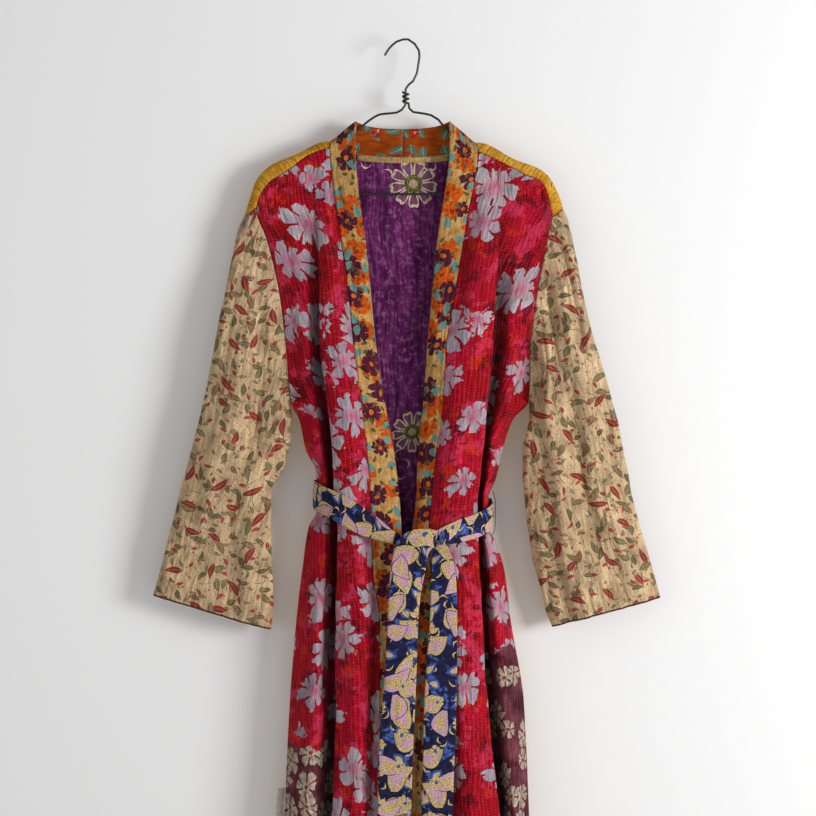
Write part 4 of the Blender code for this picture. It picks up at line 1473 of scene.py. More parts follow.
def printed(name, paint, thread=WHITE_THREAD, row=6.0, relief=1.0, quilted=True,
            roughness=0.88):
    """A cloth material: colour is print x wear x grain x painted ripple shade, with the thread
    laid on.

    The bump's height is ripple x (0.64 + 0.36 valley), plus the stitches and the weave.
    """
    finish, tree, shader = material(name)
    uv = add(tree, "UVMap", uv_map="cloth").outputs[0]
    place = vector(tree, "SCALE", uv, Scale=1000.0)
    colour = paint(tree, place)
    tone = use(tree, "wear", Place=place, Size=70.0, Low=0.84, High=1.18)["Tone"]
    grain = use(tree, "wear", Place=place, Size=2.4, Low=0.86, High=1.1)["Tone"]
    colour = vector(tree, "SCALE", colour, Scale=calc(tree, "MULTIPLY", tone, grain))
    ripple = use(tree, "puckers", Place=place, Across=row * 0.8, Along=row * 3.6)["Height"]
    height = ripple
    if quilted:
        # Painted shade and light: the colour is scaled from 0.72 in the furrows between ripples
        # up to 1.2 on their tops.
        furrow_shade = add(tree, "MapRange", [ripple, 0.34, 0.6, 0.72, 1.2]).outputs[0]
        colour = vector(tree, "SCALE", colour, Scale=furrow_shade)
        sewn = use(tree, "stitches", Place=place, Row=row, Pitch=4.2, Thread=0.6)
        colour = mix(tree, calc(tree, "MULTIPLY", sewn["Stitch"], 0.17), colour, thread)
        valley = calc(tree, "MULTIPLY_ADD", sewn["Valley"], 0.36, 0.64)
        height = calc(tree, "MULTIPLY", ripple, valley)
        height = calc(tree, "MULTIPLY_ADD", sewn["Stitch"], 0.06, height)
    weave = use(tree, "wear", Place=place, Size=0.6, Low=0.0, High=0.06)["Tone"]
    height = calc(tree, "ADD", height, weave)
    bump = add(tree, "Bump", {"Strength": relief, "Distance": DEEPEST, "Height": height})
    put(tree, bump.outputs[0], shader.inputs["Normal"])
    put(tree, colour, shader.inputs["Base Color"])
    shader.inputs["Roughness"].default_value = roughness
    shader.inputs["Sheen Weight"].default_value = 0.02
    shader.inputs["Specular IOR Level"].default_value = 0.12
    return finish


print("cloth material ready")

# %% [markdown]
# ## The fronts' print
#
# The fronts are crimson with large pale flowers, pink at the heart. The ground drifts to
# rose, wine and vermilion, as old dyes do. Patches of a maroon cloth with small flowers are
# let in low at the sides. The print is moved on between the two fronts, because no tailor
# cuts both from the same place. The second UV map says how deep in the fold the cloth lies,
# and there shade is painted into the colour to keep it dark.

# %% Ground and flowers of the fronts
GROUND_INKS = (     # size of the clouds, level, share, colour
    (46.0, 0.53, 0.75, srgb(206, 48, 84)), (31.0, 0.57, 0.8, srgb(200, 40, 10)),
    (38.0, 0.56, 0.8, srgb(92, 0, 20)), (5.0, 0.57, 0.7, srgb(112, 0, 14)),
)
# Painted shade: the floor of a front's fold loses up to this share of its colour.
FOLD_SHADE = -0.72   # how much of the colour the floor of the fold loses
PAIR_SHIFT = 740    # along and across, between where the two fronts were cut


def crimson_ground(tree, place):
    """Pale flowers on drifting crimson: layers of ink, each laid over those before it."""
    ground = cloudy(tree, place, 80, srgb(158, 0, 12), srgb(176, 4, 40), 2.0)
    for size, level, share, colour in GROUND_INKS:
        ground = mix(tree, calc(tree, "MULTIPLY", speckle(tree, place, size, level), share),
                     ground, colour)
    petal, _eye, radial, random = flowers(
        tree, place, 1, 76, 31, 7, 1.5, 0.0, 0.8, spread=0.4, lobe=0.56, joined=0.42, uneven=0.5)
    few, _eye, few_radial, _random = flowers(
        tree, place, 2, 66, 25, 5, 1.2, 0.0, 0.45, lobe=0.6, joined=0.35, uneven=0.5)
    pale = mix(tree, random, srgb(158, 148, 160), srgb(198, 190, 190))
    pale = cloudy(tree, place, 9, pale, srgb(180, 158, 172), 3.0)
    pale = mix(tree, calc(tree, "MULTIPLY", speckle(tree, place, 1.4, 0.52), 0.6), pale,
               srgb(112, 124, 142))
    few = both(tree, few, calc(tree, "GREATER_THAN", radial, 1.06))
    for mask, distance in ((few, few_radial), (petal, radial)):
        heart = add(tree, "MapRange", [distance, 0.05, 0.55, 0.85, 0.0]).outputs[0]
        ground = mix(tree, mask, ground, mix(tree, heart, pale, srgb(190, 84, 118)))
    return ground


print("crimson ground in", len(GROUND_INKS) + 1, "inks")


# %% Patches and lining of the fronts
def crimson(tree, uncut, patch_from, patch_below, shift):
    """The fronts' cloth with the maroon patch, and painted shade darker in the fold."""
    place = vector(tree, "ADD", uncut, (shift, shift, 0))
    colour = crimson_ground(tree, place)
    u, v, _w = add(tree, "SeparateXYZ", [uncut]).outputs
    edge = add(tree, "TexNoise", {"Vector": place, "Scale": 0.02}).outputs["Fac"]
    low = calc(tree, "GREATER_THAN", calc(tree, "MULTIPLY_ADD", edge, 60, v), patch_below)
    patch = both(tree, low, calc(tree, "GREATER_THAN", u, patch_from))
    maroon = cloudy(tree, place, 30, srgb(72, 14, 28), srgb(120, 60, 72))
    other, other_eye = flowers(
        tree, place, 3, 40, 18, 6, 1.2, 3.0, 0.8, lobe=0.55, joined=0.3, uneven=0.3)[:2]
    maroon = mix(tree, other, maroon, cloudy(
        tree, place, 6, srgb(196, 178, 158), srgb(150, 134, 120)))
    maroon = mix(tree, other_eye, maroon, srgb(150, 60, 30))
    colour = mix(tree, patch, colour, maroon)
    # Painted shade: the colour is darkened by the fold's depth, read from the second UV map.
    fold = add(tree, "SeparateXYZ", [add(tree, "UVMap", uv_map="edge").outputs[0]]).outputs[1]
    return vector(tree, "SCALE", colour, Scale=calc(tree, "MULTIPLY_ADD", fold, FOLD_SHADE, 1))


def rose_lining(tree, place):
    """Small pale flowers on dusty rose."""
    ground = cloudy(tree, place, 60, srgb(176, 120, 118), srgb(150, 92, 100), 2.0)
    petal, eye = flowers(tree, place, 7, 30, 9, 5, 0.8, 2.0, 0.8)[:2]
    ground = mix(tree, petal, ground, srgb(214, 192, 178))
    return mix(tree, eye, ground, srgb(150, 40, 40))


crimson_left = printed("crimson_left", lambda t, p: crimson(t, p, 118, 1010, 0))
crimson_right = printed("crimson_right", lambda t, p: crimson(t, p, 112, 880, PAIR_SHIFT))
lining = printed("rose_lining", rose_lining)
print("fronts' materials", crimson_left.name, crimson_right.name, lining.name)

# %% [markdown]
# ## The back's two prints
#
# The back is two cloths quilted together. The outer one, which laps over the shoulders, is
# mustard with small leaves. The inner one is purple, streaked where it has been washed,
# with two large pale daisies and a few curls, which show in the open neck.


# %% Mustard and purple back
def mustard(tree, place):
    """Small tan leaves on mustard with brown specks."""
    ground = cloudy(tree, place, 30, srgb(222, 166, 52), srgb(198, 136, 24), 1.5)
    ground = mix(tree, speckle(tree, place, 2.6, 0.57), ground, srgb(150, 96, 24))
    leaf, vein = leaves(tree, place, 9, 24, 7, 2.6, 0.6)
    ground = mix(tree, leaf, ground, srgb(204, 160, 82))
    return mix(tree, vein, ground, srgb(120, 60, 20))


DAISIES = ((14.7, 200, 30), (10, 548, 26))      # across, drop, radius
CURLED = ((150, 186), (570, 625))               # drops between which there are curls


def purple(tree, place):
    """Daisies and curls on streaked purple; a daisy is two blooms, one within the other."""
    ground = cloudy(tree, place, 26, srgb(84, 16, 74), srgb(118, 44, 106), 3.0)
    haze = calc(tree, "MULTIPLY", speckle(tree, place, 9.0, 0.52), 0.55)
    ground = mix(tree, haze, ground, srgb(146, 96, 140))
    streak = vector(tree, "MULTIPLY", place, (1.0, 0.08, 0))
    streak = calc(tree, "MULTIPLY", speckle(tree, streak, 11.0, 0.53), 0.6)
    ground = mix(tree, streak, ground, srgb(44, 6, 42))
    curl = leaves(tree, place, 13, 22, 9, 1.3, 0.7, bend=0.9)[0]
    _u, v, _w = add(tree, "SeparateXYZ", [place]).outputs
    for first, last in CURLED:
        ground = mix(tree, both(tree, curl, inside(tree, v, first, last)), ground,
                     srgb(206, 190, 160))
    for across, drop, radius in DAISIES:
        offset = vector(tree, "SUBTRACT", place, (across, drop, 0))
        outline = use(tree, "bloom", Offset=offset, Turn=0.2, Petals=9.0, Radius=radius,
                      Gap=0.5, Eye=0.0, Lobe=0.5)
        form = use(tree, "bloom", Offset=offset, Turn=0.2, Petals=9.0, Radius=radius * 0.88,
                   Gap=2.4, Eye=radius * 0.4, Lobe=0.5)
        ground = mix(tree, outline["Petal"], ground, srgb(204, 188, 156))
        ground = mix(tree, form["Petal"], ground, srgb(124, 76, 106))
        disc = mix(tree, speckle(tree, place, 1.8, 0.5), srgb(60, 56, 26), srgb(140, 140, 70))
        ground = mix(tree, calc(tree, "LESS_THAN", outline["Radial"], 0.42), ground, disc)
        ground = mix(tree, calc(tree, "LESS_THAN", outline["Radial"], 0.2), ground,
                     srgb(176, 150, 132))
    return ground


mustard_back = printed("mustard", mustard)
purple_inside = printed("purple", purple, thread=srgb(120, 70, 108), relief=0.8)
print("back's materials", mustard_back.name, purple_inside.name)

# %% [markdown]
# ## The sleeves' print
#
# Beige with sprigs of red and olive leaves in several sizes, each with a paler rim where
# the resist kept the ink off. The cuffs are bound with a thin brown piping, which the
# second UV map finds by its distance from the cuff.

# %% Beige sleeves
PIPING = 0.0025     # in metres, from the cuff's edge
LEAF_INKS = (       # seed, cell, length, width, share, colour
    (21, 9, 1.5, 1.0, 0.5, srgb(132, 108, 74)),
    (22, 34, 10.8, 4.3, 0.9, srgb(112, 98, 66)),
    (23, 30, 8.6, 3.4, 0.85, srgb(88, 80, 52)),
    (27, 19, 5.2, 2.3, 0.75, srgb(124, 106, 74)),
    (26, 15, 2.4, 1.4, 0.4, srgb(146, 48, 44)),
    (24, 25, 5.4, 2.3, 0.8, srgb(150, 18, 32)),
    (25, 46, 12.4, 4.3, 0.9, srgb(134, 8, 22)),
)


def beige(tree, place):
    """Sprigs of red and olive leaves with pale rims, small dots and thin stems on beige."""
    ground = cloudy(tree, place, 30, srgb(212, 184, 142), srgb(184, 156, 122), 1.5)
    ground = mix(tree, calc(tree, "MULTIPLY", speckle(tree, place, 1.7, 0.54), 0.5), ground,
                 srgb(142, 112, 82))
    stem = leaves(tree, place, 20, 26, 14.0, 0.55, 0.9, 0.4)[0]
    ground = mix(tree, calc(tree, "MULTIPLY", stem, 0.75), ground, srgb(96, 76, 50))
    for seed, cell, length, width, share, colour in LEAF_INKS:
        rim = leaves(tree, place, seed, cell, length + 0.8, width + 0.7, share, 0.15)[0]
        leaf, vein = leaves(tree, place, seed, cell, length, width, share, 0.15)
        ground = mix(tree, calc(tree, "MULTIPLY", rim, 0.4), ground, srgb(206, 180, 142))
        ground = mix(tree, calc(tree, "MULTIPLY", leaf, 0.92), ground, colour)
        ground = mix(tree, calc(tree, "MULTIPLY", vein, 0.16), ground, srgb(200, 172, 146))
    return ground


def cuffed(tree, place):
    """The sleeve's print, and the brown piping on the last millimetres of the cuff."""
    along = add(tree, "SeparateXYZ", [add(tree, "UVMap", uv_map="edge").outputs[0]]).outputs[1]
    return mix(tree, calc(tree, "LESS_THAN", along, PIPING), beige(tree, place), srgb(92, 52, 40))


def cream_lining(tree, place):
    """Small brown leaves on cream."""
    ground = cloudy(tree, place, 40, srgb(190, 166, 140), srgb(172, 144, 120))
    leaf = leaves(tree, place, 28, 18, 5, 1.5, 0.7)[0]
    return mix(tree, leaf, ground, srgb(150, 106, 92))


beige_print = printed("beige", cuffed, thread=srgb(206, 184, 156), row=8.0)
sleeve_lining = printed("cream_lining", cream_lining)
print("sleeves' materials", beige_print.name, sleeve_lining.name)

# %% [markdown]
# ## The neckband's two prints
#
# Ochre with orange and plum flowers on the side that shows on the fronts, and rust with
# teal leaves on the side that shows behind the neck.


# %% Ochre and rust neckband
def ochre(tree, place):
    """Soft orange and plum flowers with teal leaves on a speckled tan ground."""
    ground = cloudy(tree, place, 14, srgb(184, 138, 72), srgb(198, 162, 104))
    ground = mix(tree, speckle(tree, place, 2.2, 0.55), ground, srgb(160, 104, 46))
    for seed, cell, radius, petals, eye, share, colour, dark, centre in (
        (31, 38, 18, 5, 2.8, 0.95, srgb(206, 96, 16), srgb(176, 60, 14), srgb(140, 34, 24)),
        (32, 46, 16, 6, 3.6, 0.9, srgb(92, 30, 52), srgb(60, 18, 40), srgb(200, 100, 24)),
    ):
        petal, middle = flowers(
            tree, place, seed, cell, radius, petals, 0.4, eye, share, lobe=0.72, joined=0.55,
            uneven=0.4)[:2]
        ground = mix(tree, petal, ground, cloudy(tree, place, 5, colour, dark))
        ground = mix(tree, middle, ground, centre)
    for seed, cell, length, width, colour in (
        (33, 30, 9.6, 5.0, srgb(98, 140, 132)), (34, 18, 4.8, 2.3, srgb(92, 84, 48)),
    ):
        leaf = leaves(tree, place, seed, cell, length, width, 0.8)[0]
        ground = mix(tree, leaf, ground, colour)
    return ground


def rust(tree, place):
    """Teal leaves and small red flowers on rust."""
    ground = cloudy(tree, place, 16, srgb(146, 58, 4), srgb(158, 72, 10))
    leaf, vein = leaves(tree, place, 36, 28, 10.5, 5.4, 0.95)
    ground = mix(tree, leaf, ground, srgb(40, 124, 116))
    ground = mix(tree, vein, ground, srgb(170, 130, 70))
    petal, eye = flowers(tree, place, 37, 34, 8, 5, 0.6, 2.0, 0.7)[:2]
    ground = mix(tree, petal, ground, srgb(170, 34, 24))
    return mix(tree, eye, ground, srgb(220, 150, 60))


ochre_band = printed("ochre", ochre, row=8.0, relief=0.8, thread=srgb(200, 160, 100))
rust_inside = printed("rust", rust, row=8.0, relief=0.7, thread=srgb(170, 96, 50))
print("neckband's materials", ochre_band.name, rust_inside.name)

# %% [markdown]
# ## The belt's print, the tape and the tab
#
# The belt is a plain printed cotton, not quilted: gold and pink paisleys on navy. How many
# cells carry one is set for each stretch, as some stretches of the real belt show more of
# the ground. The tape is speckled gold, and the tab is bare.


# %% Belt, tape and tab
def indigo(tree, place, share):
    """Gold paisleys with pink hearts on navy and cobalt, with cobalt leaves and gold curls."""
    navy = cloudy(tree, place, 9, srgb(20, 20, 48), srgb(34, 34, 70))
    cobalt = cloudy(tree, place, 6, srgb(40, 62, 136), srgb(84, 108, 172))
    ground = mix(tree, speckle(tree, place, 26.0, 0.53), navy, cobalt)
    gold = mix(tree, speckle(tree, place, 1.6, 0.5), srgb(214, 188, 132), srgb(128, 104, 62))
    pink = mix(tree, speckle(tree, place, 1.8, 0.52), srgb(204, 164, 180), srgb(158, 100, 128))
    blue = mix(tree, speckle(tree, place, 1.8, 0.52), srgb(62, 92, 168), srgb(38, 52, 112))
    curl = leaves(tree, place, 43, 17, 7.0, 1.3, 0.8, bend=0.8)[0]
    ground = mix(tree, curl, ground, gold)
    for seed, cell, length, width, bend, body_colour, heart_colour in (
        (45, 38, 13.0, 8.0, 0.3, blue, gold), (41, 38, 25.0, 13.5, 0.4, gold, pink),
        (44, 44, 22.0, 12.0, -0.4, pink, gold),
    ):
        rim = leaves(tree, place, seed, cell, length, width, share, bend)[0]
        body = leaves(tree, place, seed, cell, length - 1.3, width - 1.0, share, bend)[0]
        heart = leaves(tree, place, seed, cell, length * 0.6, width * 0.5, share, bend)[0]
        ground = mix(tree, rim, ground, srgb(30, 26, 50))
        ground = mix(tree, body, ground, body_colour)
        ground = mix(tree, heart, ground, heart_colour)
    petal, eye = flowers(
        tree, place, 42, 38, 10, 5, 0.5, 2.6, 0.55, lobe=0.7, joined=0.4)[:2]
    ground = mix(tree, petal, ground, gold)
    return mix(tree, eye, ground, srgb(60, 84, 150))


def speckled(tree, place):
    """Brown specks on dull gold."""
    ground = cloudy(tree, place, 7, srgb(196, 170, 120), srgb(168, 132, 76))
    return mix(tree, speckle(tree, place, 1.8, 0.53), ground, srgb(112, 76, 44))


blue_belts = [
    printed(f"indigo_{k}", lambda t, p, share=share: indigo(t, p, share), quilted=False,
            row=9.0, relief=0.35, roughness=0.8)
    for k, share in enumerate((0.62, 0.86, 0.5))      # wrap, knot, tail
]
gold_tape = printed("gold_tape", speckled, quilted=False, row=3.0, relief=0.3)
bare_tab = printed(
    "bare_tab", lambda t, p: cloudy(t, p, 6, srgb(222, 216, 204), srgb(204, 196, 182)),
    quilted=False, row=2.0, relief=0.3,
)
print("cloth materials", len(bpy.data.materials))

# %% [markdown]
# ## Making the sheets
#
# Each sheet takes the place of its plain solid and rides on the one body, and its area is
# printed beside the flat size of its cut. A front is about 0.23 m wide with its fold opened
# out. A sleeve is 0.51 m round at the armhole and 0.33 m at the cuff. Its print lies in the
# flat tube's plane, because lengths round each ring would slant the print along the taper.

# %% Cloth coordinates
EDGE_DEPTH = 9.0    # depth gained at a sleeve's outer edge that the print follows


def flat_tube(points):
    """Cloth coordinates of a flattened tube that starts and ends at its outer edge.

    The print lies in the tube's plane: along is the way down its axis, and across is the
    way in from the outer edge, with the depth gained on the turn there added. It goes on
    with the other sign on the tube's back.
    """
    joined = np.concatenate([points, points[:, :1]], axis=1)
    way = points[-1].mean(axis=0) - points[0].mean(axis=0)
    way = np.array([way[0], 0, way[2]]) / math.hypot(way[0], way[2])
    square = np.array([way[2], 0, -way[0]])
    across = joined @ square
    across = np.abs(across - across[:, :1])
    turn = np.argmax(across[-1]) + 1
    depth = np.minimum(np.abs(joined[..., 1] - joined[:, :1, 1]), EDGE_DEPTH)
    fore = np.maximum.accumulate(depth[:, :turn], axis=1)
    behind = np.maximum.accumulate(depth[:, :turn - 1:-1], axis=1)[:, ::-1]
    return np.concatenate([
        across[:, :turn] + fore, -across[:, turn:] - behind
    ], axis=1), joined @ way


def down(points):
    """Drop below the hook at every point of a grid."""
    return -points[..., 2]


def down_strip(points, shift=0.0):
    """The mean length down a strip, the same at every point of a rung."""
    along = lengths(points, 0)
    return along.mean(axis=1, keepdims=True) + 0 * along + shift


def place_sheet(name, points, u, v, thickness, finishes, outward, flat,
                keep=None, cut=None, edge=None):
    """A sheet in the place of its solid, with its area printed beside the size of its cut."""
    made = sheet_mesh(name + "_cloth", points, u, v, thickness, finishes, outward, keep, edge)
    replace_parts(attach(made, "root"), name)
    print(name, "area", round(area(points, keep), 4), "m2 of a cut of",
          round(cut or flat[0] * flat[1], 4))


print("print of the left sleeve, across", np.round(flat_tube(sleeves[0])[0][-1, ::20]).tolist())

# %% Fronts and back
FOLD_FROM, FOLD_TO = 3.0, 5.9       # stations between which a front's cloth is in its fold


# The mask of the painted shade in a front's fold, which darkens the fronts' colour.
def in_fold(points, t):
    """1000 on the floor of a front's fold, 0 outside it and above the chest.

    It is the product of three fades: into the fold, out of it, and down from the shoulder.
    """
    depth = fade(t - FOLD_FROM, 0.6) * (1 - fade(t - FOLD_TO + 1.0, 1.0))
    return 1000 * depth[None, :] * fade(down(points) - 190, 190)


for name, points, finish, made_from in (
    ("front_left", fronts[0], crimson_left, (FRONT_LEFT, BAND_LEFT, -1)),
    ("front_right", fronts[1], crimson_right, (FRONT_RIGHT, BAND_RIGHT, 1)),
):
    place_sheet(name, points, lengths(points, 1), down(points), CLOTH, (finish, lining),
                FORWARD, (0.23, 1.2), cut=0.215,
                edge=in_fold(points, front_columns(*made_from)))

middle = BACK_COLUMNS == MIDDLE
keep = np.ones((back.shape[0] - 1, back.shape[1] - 1), bool)
keep[:LAP_ROWS, NECK_LEFT:NECK_RIGHT] = False
from_middle = lengths(back, 1) - lengths(back, 1)[:, middle]
place_sheet("back", back, from_middle, down(back), CLOTH, (mustard_back, purple_inside), BEHIND,
            (0.56, 1.24), keep=keep, cut=0.55)

# %% Sleeves, neckband and belt
SHIFT = 700.0       # along the cloth, between where the two halves of a pair were cut
for name, points, shift in (("sleeve_left", sleeves[0], 0), ("sleeve_right", sleeves[1], SHIFT)):
    across, along = flat_tube(points)
    from_cuff = lengths(points[::-1], 0)[::-1]
    place_sheet(name, points, across, along + shift, CLOTH, (beige_print, sleeve_lining),
                points - points.mean(axis=1, keepdims=True), (0.5, 0.55),
                cut=0.15,
                edge=np.concatenate([from_cuff, from_cuff[:, :1]], axis=1))

for name, points, shift in (("neckband_left", bands[0], 0), ("neckband_right", bands[1], SHIFT)):
    place_sheet(name, points, lengths(points, 1), down_strip(points, shift), BAND,
                (ochre_band, rust_inside), FORWARD, (0.045, 1.33))

for name, points, flat, held, finish in (
    ("belt_wrap", wrap, (0.036, 0.64), "gathered", blue_belts[0]),
    ("belt_knot", knot, (0.043, 0.58), "hung", blue_belts[1]),
    ("belt_tail", tail, (0.043, 0.57), "hung", blue_belts[2]),
):
    outward = wrap - wrap.mean(axis=(0, 1)) if name == "belt_wrap" else FORWARD
    place_sheet(name, points, lengths(points, 1), down_strip(points), BELT, (finish,), outward,
                flat)

# %% [markdown]
# ## Tape and tab
#
# A narrow tape covers the seam of the neckband inside the back neck. It is a few rows of
# the back's own grid, moved forward by half of both thicknesses. A bare tab stands in the
# left side seam.

# %% Tape and tab
TRIM_GAP = 0.4
TAPE_FROM, TAPE_TO, TAPE_ROWS = 10.65, 13.35, 5     # stations of the back, and its rows
TAB = table("""
drop  seam  seam_depth  outer  outer_depth
1046  -165          -1   -174          -7
1062  -166          -1   -176          -8
1079  -167          -1   -177          -8
1096  -167          -2   -177         -10
""")
tape_columns = (BACK_COLUMNS > TAPE_FROM) & (BACK_COLUMNS < TAPE_TO)
tape = back[LAP_ROWS : LAP_ROWS + TAPE_ROWS][:, tape_columns]
tape = tape - (0, (CLOTH + TAPE) / 2 + TRIM_GAP, 0)
place_sheet("neck_tape", tape, lengths(tape, 1), down(tape), TAPE, (gold_tape,), FORWARD,
            (0.13, 0.01))
tab = rungs(
    np.stack([TAB["seam"], TAB["seam_depth"], -TAB["drop"]], axis=-1),
    np.stack([TAB["outer"], TAB["outer_depth"], -TAB["drop"]], axis=-1), 0.5,
)
tab = finer(tab, 3.0)
place_sheet("side_tab", tab, lengths(tab, 1), down(tab), TAPE, (bare_tab,), FORWARD,
            (0.012, 0.05))

# %% [markdown]
# ## The belt's loop
#
# A thread loop at the right side seam carries the belt. It is a twisted cord: a profile
# with three lobes, one for each yarn, that turns as it is carried along the cord's line.

# %% Line and material of the loop
LOOP = table("""
    x  depth  drop
126.6     -3   631
128.2     -3   637
129.7     -3   644
130.0     -3   664
129.3     -3   683
127.6     -3   689
126.0     -3   692.5
""")
STRANDS, TWIST = 3, 2.6     # yarns of the cord, and its lay in turns per 10 mm


def own_place(tree):
    """A point's place on the object, in millimetres."""
    return vector(tree, "SCALE", add(tree, "TexCoord").outputs["Object"], Scale=1000.0)


def cord_material():
    """Dark red thread whose fibres vary in tone."""
    finish, tree, shader = material("twisted_cord")
    place = own_place(tree)
    fibres = use(tree, "wear", Place=place, Size=0.8, Low=0.7, High=1.25)["Tone"]
    colour = vector(tree, "SCALE", srgb(84, 14, 34)[:3], Scale=fibres)
    put(tree, colour, shader.inputs["Base Color"])
    shader.inputs["Roughness"].default_value = 0.85
    return finish


line = np.stack([LOOP["x"], LOOP["depth"], -LOOP["drop"]], axis=-1)
line = finer(line[:, None], 0.8)[:, 0]
run = np.concatenate([[0], np.cumsum(np.linalg.norm(np.diff(line, axis=0), axis=1))])
print("loop length", round(float(run[-1]), 1), "mm in", len(line), "points")

# %% Mesh of the loop
# Its radius at an angle is half the thread times 1 + 0.16 |cos(n / 2 (angle + turn))|, with
# n yarns and a turn that grows with the length.
AROUND = 12
angle = np.linspace(0, 2 * math.pi, AROUND, endpoint=False)
turn = TWIST * run[:, None] / 10 * 2 * math.pi
lobes = 1 + 0.16 * np.abs(np.cos(STRANDS / 2 * (angle + turn)))
ring = np.stack([np.cos(angle), np.sin(angle), 0 * angle], axis=-1)
points = line[:, None] + ring * (THREAD / 2 * lobes)[..., None]
count, sides = points.shape[:2]
number = np.arange(count * sides).reshape(count, sides)
beside_it = np.roll(number, -1, axis=1)
faces = np.stack([number[:-1], number[1:], beside_it[1:], beside_it[:-1]], axis=-1)
mesh = bpy.data.meshes.new("belt_loop_cord")
mesh.from_pydata(
    (points.reshape(-1, 3) * MM).tolist(), [],
    faces.reshape(-1, 4).tolist() + [number[0].tolist(), number[-1][::-1].tolist()],
)
mesh.shade_smooth()
mesh.materials.append(cord_material())
loop = bpy.data.objects.new("belt_loop_cord", mesh)
bpy.context.scene.collection.objects.link(loop)
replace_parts(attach(loop, "root"), "belt_loop")
print("loop faces", len(mesh.polygons))

# %% [markdown]
# ## The hanger's wire
#
# The hanger is one bent wire with a thin coat of black paint. Its solid already has the
# real one's shape, so it stays and gets a finish: paint that varies a little in tone and
# gloss, and has come off in small spots, where the bare steel shows.


# %% Black wire
def wire_material():
    """Black paint over steel, rubbed off in spots at random."""
    finish, tree, shader = material("black_wire")
    place = own_place(tree)
    rubbed = speckle(tree, place, 3.5, 0.63)
    tone = use(tree, "wear", Place=place, Size=9.0, Low=0.6, High=1.6)["Tone"]
    paint = vector(tree, "SCALE", srgb(26, 25, 25)[:3], Scale=tone)
    put(tree, mix(tree, rubbed, paint, srgb(92, 88, 82)), shader.inputs["Base Color"])
    put(tree, calc(tree, "MULTIPLY", rubbed, 0.85), shader.inputs["Metallic"])
    put(tree, calc(tree, "MULTIPLY_ADD", tone, -0.06, 0.42), shader.inputs["Roughness"])
    height = use(tree, "wear", Place=place, Size=1.2, Low=0.0, High=1.0)["Tone"]
    bump = add(tree, "Bump", {"Strength": 0.25, "Distance": 0.0002, "Height": height})
    put(tree, bump.outputs[0], shader.inputs["Normal"])
    return finish


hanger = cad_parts["hanger"]
hanger.data.materials.clear()
hanger.data.materials.append(wire_material())
print("hanger faces", len(hanger.data.polygons))

# %% [markdown]
# ## Room, light and camera
#
# The robe hangs close to a white wall, which catches its soft shadow. A large light from
# the right front leaves the left side a little darker. Seen from behind, the wall is clear,
# and it lets diffuse rays pass, so that the robe's back isn't in the dark.

# %% Wall and floor
WALL_DEPTH = 32.0
WALL_TOP = 1500.0
FLOOR_DROP = 1420.0
WIDE = 3000.0       # half of the wall's width, and of the floor's


def plain(name, colour, clear_behind=False):
    """A matt paint, seen through from behind where asked for."""
    finish, tree, shader = material(name)
    shader.inputs["Base Color"].default_value = colour
    shader.inputs["Roughness"].default_value = 0.9
    if clear_behind:
        clear = add(tree, "BsdfTransparent").outputs[0]
        side = add(tree, "NewGeometry").outputs["Backfacing"]
        chosen = add(tree, "MixShader", [side, shader.outputs[0], clear]).outputs[0]
        put(tree, chosen, tree.nodes["Material Output"].inputs["Surface"])
    return finish


def slab(name, corners, finish):
    """A flat four-sided piece of the stage."""
    mesh = bpy.data.meshes.new(name)
    mesh.from_pydata([tuple(c * MM for c in corner) for corner in corners], [], [(0, 1, 2, 3)])
    mesh.materials.append(finish)
    made = bpy.data.objects.new(name, mesh)
    bpy.context.scene.collection.objects.link(made)
    return made


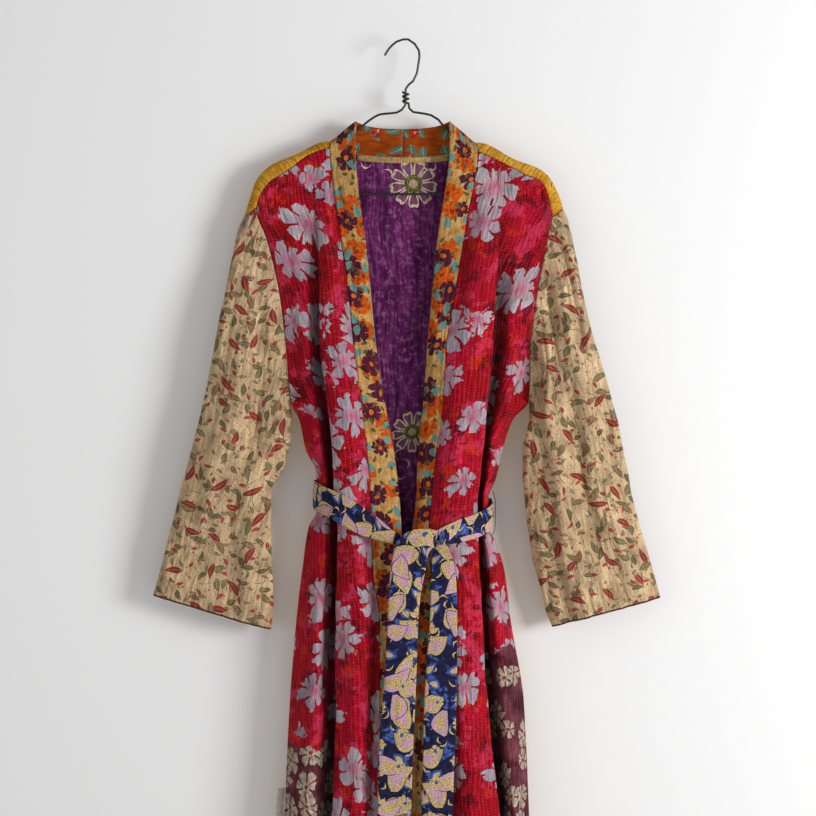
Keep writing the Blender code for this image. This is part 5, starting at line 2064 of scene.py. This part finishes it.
wall = slab("wall", [(-WIDE, WALL_DEPTH, -FLOOR_DROP), (WIDE, WALL_DEPTH, -FLOOR_DROP),
                     (WIDE, WALL_DEPTH, WALL_TOP), (-WIDE, WALL_DEPTH, WALL_TOP)],
            plain("wall_paint", srgb(244, 244, 245), clear_behind=True))
wall.visible_diffuse = False
slab("floor", [(-WIDE, -WIDE, -FLOOR_DROP), (WIDE, -WIDE, -FLOOR_DROP),
               (WIDE, WIDE, -FLOOR_DROP), (-WIDE, WIDE, -FLOOR_DROP)],
     plain("floor_paint", srgb(226, 224, 220)))
print("wall", WALL_DEPTH, "mm behind the hook, floor", FLOOR_DROP, "mm below it")


# %% Lights
def area_light(name, place, target, size, power):
    """A square light at a place, turned towards a target by its yaw and its pitch."""
    data = bpy.data.lights.new(name, "AREA")
    data.size, data.energy = size, power
    made = bpy.data.objects.new(name, data)
    made.location = place
    way = np.array(target) - np.array(place)
    yaw = math.atan2(-way[0], way[1])
    pitch = math.atan2(math.hypot(way[0], way[1]), -way[2])
    made.rotation_euler = (pitch, 0, yaw)
    bpy.context.scene.collection.objects.link(made)


AIM = (0, 0, -0.6)
area_light("key", (2.6, -1.9, -0.4), AIM, 1.1, 72)
area_light("fill", (-2.4, -2.2, -0.9), AIM, 2.2, 11)
world = bpy.data.worlds.new("studio")
world.use_nodes = True
world.node_tree.nodes["Background"].inputs["Color"].default_value = (1, 1, 1, 1)
world.node_tree.nodes["Background"].inputs["Strength"].default_value = 0.42
bpy.context.scene.world = world
bpy.context.scene.view_settings.view_transform = "Standard"
print("lights", [light.name for light in bpy.data.lights])

# %% [markdown]
# ## The camera
#
# The photo is taken square on from a few metres, with a long lens: the robe's two sides
# show equally, and its hem is below the frame's edge.

# %% Camera
CAMERA_DISTANCE = 3.2
CAMERA_ACROSS, CAMERA_DROP = 7.7, 514.6
LENS, FILM = 100.8, 36
camera_data = bpy.data.cameras.new("camera")
camera_data.lens, camera_data.sensor_width = LENS, FILM
camera = bpy.data.objects.new("camera", camera_data)
camera.location = (CAMERA_ACROSS * MM, -CAMERA_DISTANCE, -CAMERA_DROP * MM)
camera.rotation_euler = (math.pi / 2, 0, 0)
bpy.context.scene.collection.objects.link(camera)
bpy.context.scene.camera = camera
print("camera", CAMERA_DISTANCE, "m away with a lens of", LENS, "mm")
